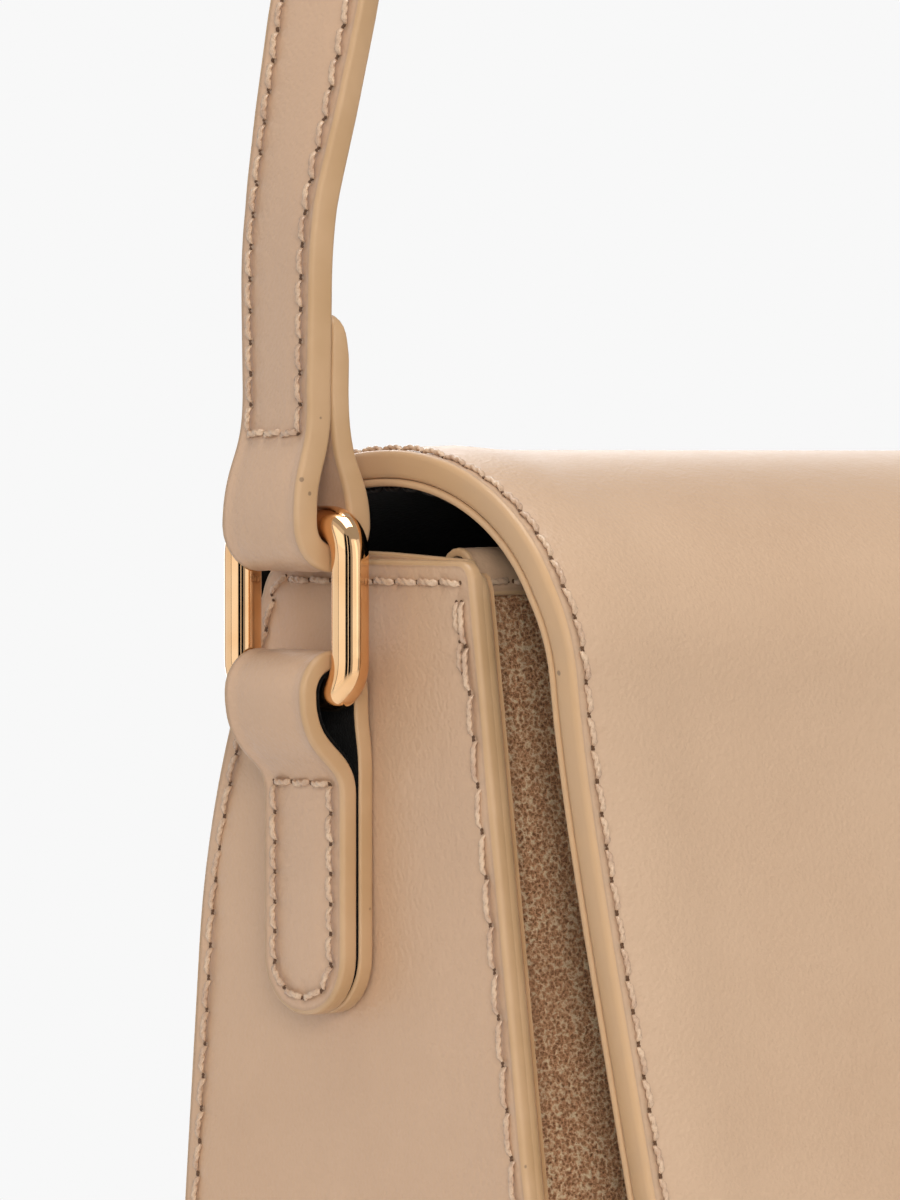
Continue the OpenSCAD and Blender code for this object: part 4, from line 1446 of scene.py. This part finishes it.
@dataclass
class Strap:
    """The strap: folded leather, looped through both rings and sewn along both edges."""

    finishes: Finishes
    sewing: Sewing
    inset: float = 2.1
    pitch: float = 3.6
    rows_z: float = 148.0
    twist: tuple = ((138, 146, 153, 163, 174, 185, 196, 215, 290),
                    (1.5, 4.5, 6.0, 4.5, 3.5, -4.0, -9.0, -10.0, 0.0))

    def build(self) -> None:
        """Builds the strap and its rows of stitches."""
        s = SHAPE
        place = PairPlace(s.strap_line(-s.strap_t / 2), s.strap_line(s.strap_t / 2), s.strap_t, self.twist)
        total, half = place.total, s.strap_w / 2
        sheet = Sheet("strap", rounded_box(0, total, -half, half, (2.4,) * 4), place, s.strap_t, 0.8, 2.4,
                      (0.9, 1.5, 2.1, 2.7, 3.5), edge=bead(s.strap_t, 0.6, 0.6))
        mid = (place.inner + place.outer) / 2
        at = lengths(mid)
        start = float(np.interp(self.rows_z, mid[50:90, 1], at[50:90]))
        rows = [np.stack([np.linspace(start, total - start, 700), np.full(700, k * (half - self.inset))], 1)
                for k in (-1, 1)]
        cross = [np.stack([np.full(20, a), np.linspace(self.inset - half, half - self.inset, 20)], 1)
                 for a in (start, total - start)]
        seams = [Seam(place, k, s.strap_t, self.pitch) for k in rows + cross]
        inner = [Seam(place, k, 0.0, self.pitch, inner=True) for k in
                 [np.stack([np.linspace(start + 14, total - start - 14, 700), row[:, 1]], 1) for row in rows]]
        ends = [np.stack([np.linspace(a, b, 30), np.full(30, k * (half - self.inset))], 1)
                for a, b in ((2.0, 14.0), (total - 14.0, total - 2.0)) for k in (-1, 1)]
        inner += [Seam(place, k, s.strap_t, self.pitch) for k in ends]
        sheet.relief = Puckers(holes_on(seams), self.inset, 0.24, 0.19)
        fit(sheet, "strap", self.finishes.strap, "leather", "strap_leather", "strap_filler", "strap_lining")
        self.sewing.sew("strap_stitches", "strap", seams, slant=5.0)
        self.sewing.sew("strap_inner_stitches", "strap", inner, 0.36)


@dataclass
class Ring:
    """A polished ring of round wire."""

    side: Side
    finishes: Finishes

    def build(self) -> None:
        """Builds the wire round a rounded rectangle."""
        s = SHAPE
        mid = (s.low_bar + s.high_bar) / 2
        loop = resample(rounded_box(s.strap_y - s.ring_w / 2, s.strap_y + s.ring_w / 2, mid - s.ring_h / 2,
                                    mid + s.ring_h / 2, (s.ring_corner,) * 4), 0.35, closed=True)
        x = np.full(len(loop), self.side.value * (s.half + s.bar_out))
        obj = tube("ring_wire_" + self.side.word, np.column_stack([x, loop]), np.array([1.0, 0, 0]), s.wire_r)
        dress(obj, self.finishes.gold)
        body = "ring_" + self.side.word
        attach(obj, body)
        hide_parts(body)


@dataclass
class Hardware:
    """The CAD's own solids that stay in view: boards, washers and the magnetic snap."""

    finishes: Finishes
    nodes: dict

    def build(self) -> None:
        """Gives each CAD node its finish."""
        f = self.finishes
        for names, finish in ((("front_board", "back_board", "base_board"), f.board),
                              (("snap_socket", "snap_stud"), f.gold),
                              (("snap_socket_washer", "snap_stud_washer"), f.steel),
                              (("snap_magnet",), f.magnet)):
            for name in names:
                dress(self.nodes[name], finish)


# Stage
def back_from(azimuth: float, elevation: float) -> Vector:
    """The unit vector from the bag towards a viewer at two angles in degrees."""
    a, e = math.radians(azimuth), math.radians(elevation)
    return Vector((math.sin(a) * math.cos(e), -math.cos(a) * math.cos(e), math.sin(e)))


@dataclass(frozen=True)
class Lamp:
    """A soft square light aimed at the bag's left end."""

    name: str
    azimuth: float
    elevation: float
    distance: float
    size: float
    watts: float
    shows: bool = True

    def build(self, aim: Vector) -> None:
        """Places the light round the aim, in metres."""
        data = bpy.data.lights.new(self.name, "AREA")
        data.energy, data.size = self.watts, self.size
        lamp = bpy.data.objects.new(self.name, data)
        lamp.visible_glossy = self.shows
        back = back_from(self.azimuth, self.elevation)
        lamp.location = aim + back * self.distance
        lamp.rotation_mode = "QUATERNION"
        lamp.rotation_quaternion = back.to_track_quat("Z", "Y")
        bpy.context.scene.collection.objects.link(lamp)


@dataclass
class Studio:
    """Pale floor and backdrop, soft lamps, cards for the gold to reflect, and the photo's camera."""

    backdrop: str = "#F8F8F8"
    azimuth: float = -39.95
    elevation: float = 1.11
    distance_mm: float = 800.0
    lens: float = 213.3
    aim_mm: tuple = (-130.0, -16.9, 129.56)
    light_aim_mm: tuple = (-120.0, 0.0, 130.0)

    def build(self) -> None:
        """Builds the stage."""
        self._world()
        self._floor()
        aim = Vector([k * MM for k in self.light_aim_mm])
        for lamp in (Lamp("front", -38, 12, 1.3, 0.6, 9.3, False),
                     Lamp("left", -88, 30, 1.1, 0.8, 0.5),
                     Lamp("top", 0, 84, 1.0, 0.7, 6.5),
                     Lamp("right", 14, 16, 1.4, 0.9, 1.2),
                     Lamp("rear", 150, 35, 1.2, 0.6, 2.5)):
            lamp.build(aim)
        for card in (("black_card_left", -60, 1500, 330, 2600, 0.0),
                     ("black_card_right", -43, 1500, 330, 2600, 0.0),
                     ("white_card_slit", -51.5, 1700, 330, 2600, 0.9),
                     ("white_card_left", -92, 1500, 1200, 2200, 1.1),
                     ("white_card_far_left", -148, 1500, 1700, 2200, 0.9),
                     ("white_card_right", -8, 1500, 900, 2200, 1.1),
                     ("white_card_rear", 140, 1500, 1400, 1350, 2.6)):
            self._card(*card)
        self._camera()

    def _world(self) -> None:
        """A pale backdrop for the camera and a dimmer surround for everything else."""
        world = bpy.data.worlds.new("studio")
        world.use_nodes = True
        tree = world.node_tree
        back = tree.nodes["Background"]
        path = tree.nodes.new("ShaderNodeLightPath")
        seen = tree.nodes.new("ShaderNodeMath")
        seen.operation, seen.use_clamp = "ADD", True
        tree.links.new(path.outputs["Is Camera Ray"], seen.inputs[0])
        tree.links.new(path.outputs["Is Transmission Ray"], seen.inputs[1])
        strength = tree.nodes.new("ShaderNodeMapRange")
        strength.inputs[3].default_value, strength.inputs[4].default_value = 0.42, 1.0
        tree.links.new(seen.outputs[0], strength.inputs[0])
        back.inputs[0].default_value = srgb(self.backdrop)
        tree.links.new(strength.outputs[0], back.inputs[1])
        bpy.context.scene.world = world

    def _floor(self) -> None:
        """A pale floor that fades into the backdrop a little way out from the bag."""
        rings, around, low = (120.0, 240.0, 360.0, 480.0), 64, -0.4
        verts = [(r * math.cos(2 * math.pi * j / around), r * math.sin(2 * math.pi * j / around), low)
                 for r in rings for j in range(around)] + [(0, 0, low)]
        faces = bands(len(rings) - 1, around)
        faces += [(j, (j + 1) % around, len(verts) - 1) for j in range(around)]
        floor = mesh_object("floor", np.array(verts), faces)
        n = Nodes("pale_floor")
        n.finish(Base_Color=srgb("#F2F2F2"), Roughness=0.9)
        far = n.add("ShaderNodeVectorMath", {0: n.object_mm()}, operation="LENGTH").outputs["Value"]
        clear = n.add("ShaderNodeBsdfTransparent").outputs[0]
        fade = n.add("ShaderNodeMixShader", {0: n.span(far, 250.0, 470.0), 1: n.surface.outputs[0], 2: clear})
        n.tree.links.new(fade.outputs[0], n.tree.nodes["Material Output"].inputs[0])
        dress(floor, n.material)

    def _card(self, name: str, azimuth: float, distance: float, width: float, height: float,
              glow: float) -> None:
        """A black or glowing card that only reflections show."""
        a = math.radians(azimuth)
        back, across = np.array([math.sin(a), -math.cos(a), 0]), np.array([math.cos(a), math.sin(a), 0])
        mid = back * distance + self.light_aim_mm
        corners = [mid + across * i * width / 2 + np.array([0, 0, 1]) * j * height / 2
                   for i, j in ((-1, -1), (1, -1), (1, 1), (-1, 1))]
        card = mesh_object(name, np.array(corners), [(0, 1, 2, 3)])
        n = Nodes(name)
        dress(card, n.finish(Base_Color=srgb("#000000"), Roughness=1.0, Specular_IOR_Level=0.0,
                             Emission_Color=srgb("#FFFFFF"), Emission_Strength=glow))
        card.visible_camera = card.visible_shadow = card.visible_diffuse = card.visible_transmission = False

    def _camera(self) -> None:
        """The camera, aimed as in the photo."""
        data = bpy.data.cameras.new("camera")
        data.lens, data.sensor_width, data.clip_start, data.clip_end = self.lens, 36.0, 0.05, 50.0
        cam = bpy.data.objects.new("camera", data)
        back = back_from(self.azimuth, self.elevation)
        cam.location = Vector(self.aim_mm) * MM + back * self.distance_mm * MM
        cam.rotation_mode = "QUATERNION"
        cam.rotation_quaternion = (-back).to_track_quat("-Z", "Y")
        bpy.context.scene.collection.objects.link(cam)
        bpy.context.scene.camera = cam


def main() -> None:
    """Builds the bag's looks part by part."""
    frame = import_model()
    scene = bpy.context.scene
    scene.view_settings.view_transform = "Standard"
    finishes = Finishes()
    sewing = Sewing(repeat_tree(), finishes.thread, finishes.hole)
    parts = [FrontWall(finishes, sewing), BackWall(finishes, sewing), Floor(finishes, sewing),
             Flap(finishes, sewing), Strap(finishes, sewing), Hardware(finishes, frame["nodes"])]
    for side in Side:
        parts += [Gusset(side, finishes, sewing), Tab(side, finishes, sewing), Ring(side, finishes)]
    for part in parts:
        part.build()
        LOG.info("built %s", type(part).__name__)
    Studio().build()


if __name__ == "__main__":
    main()
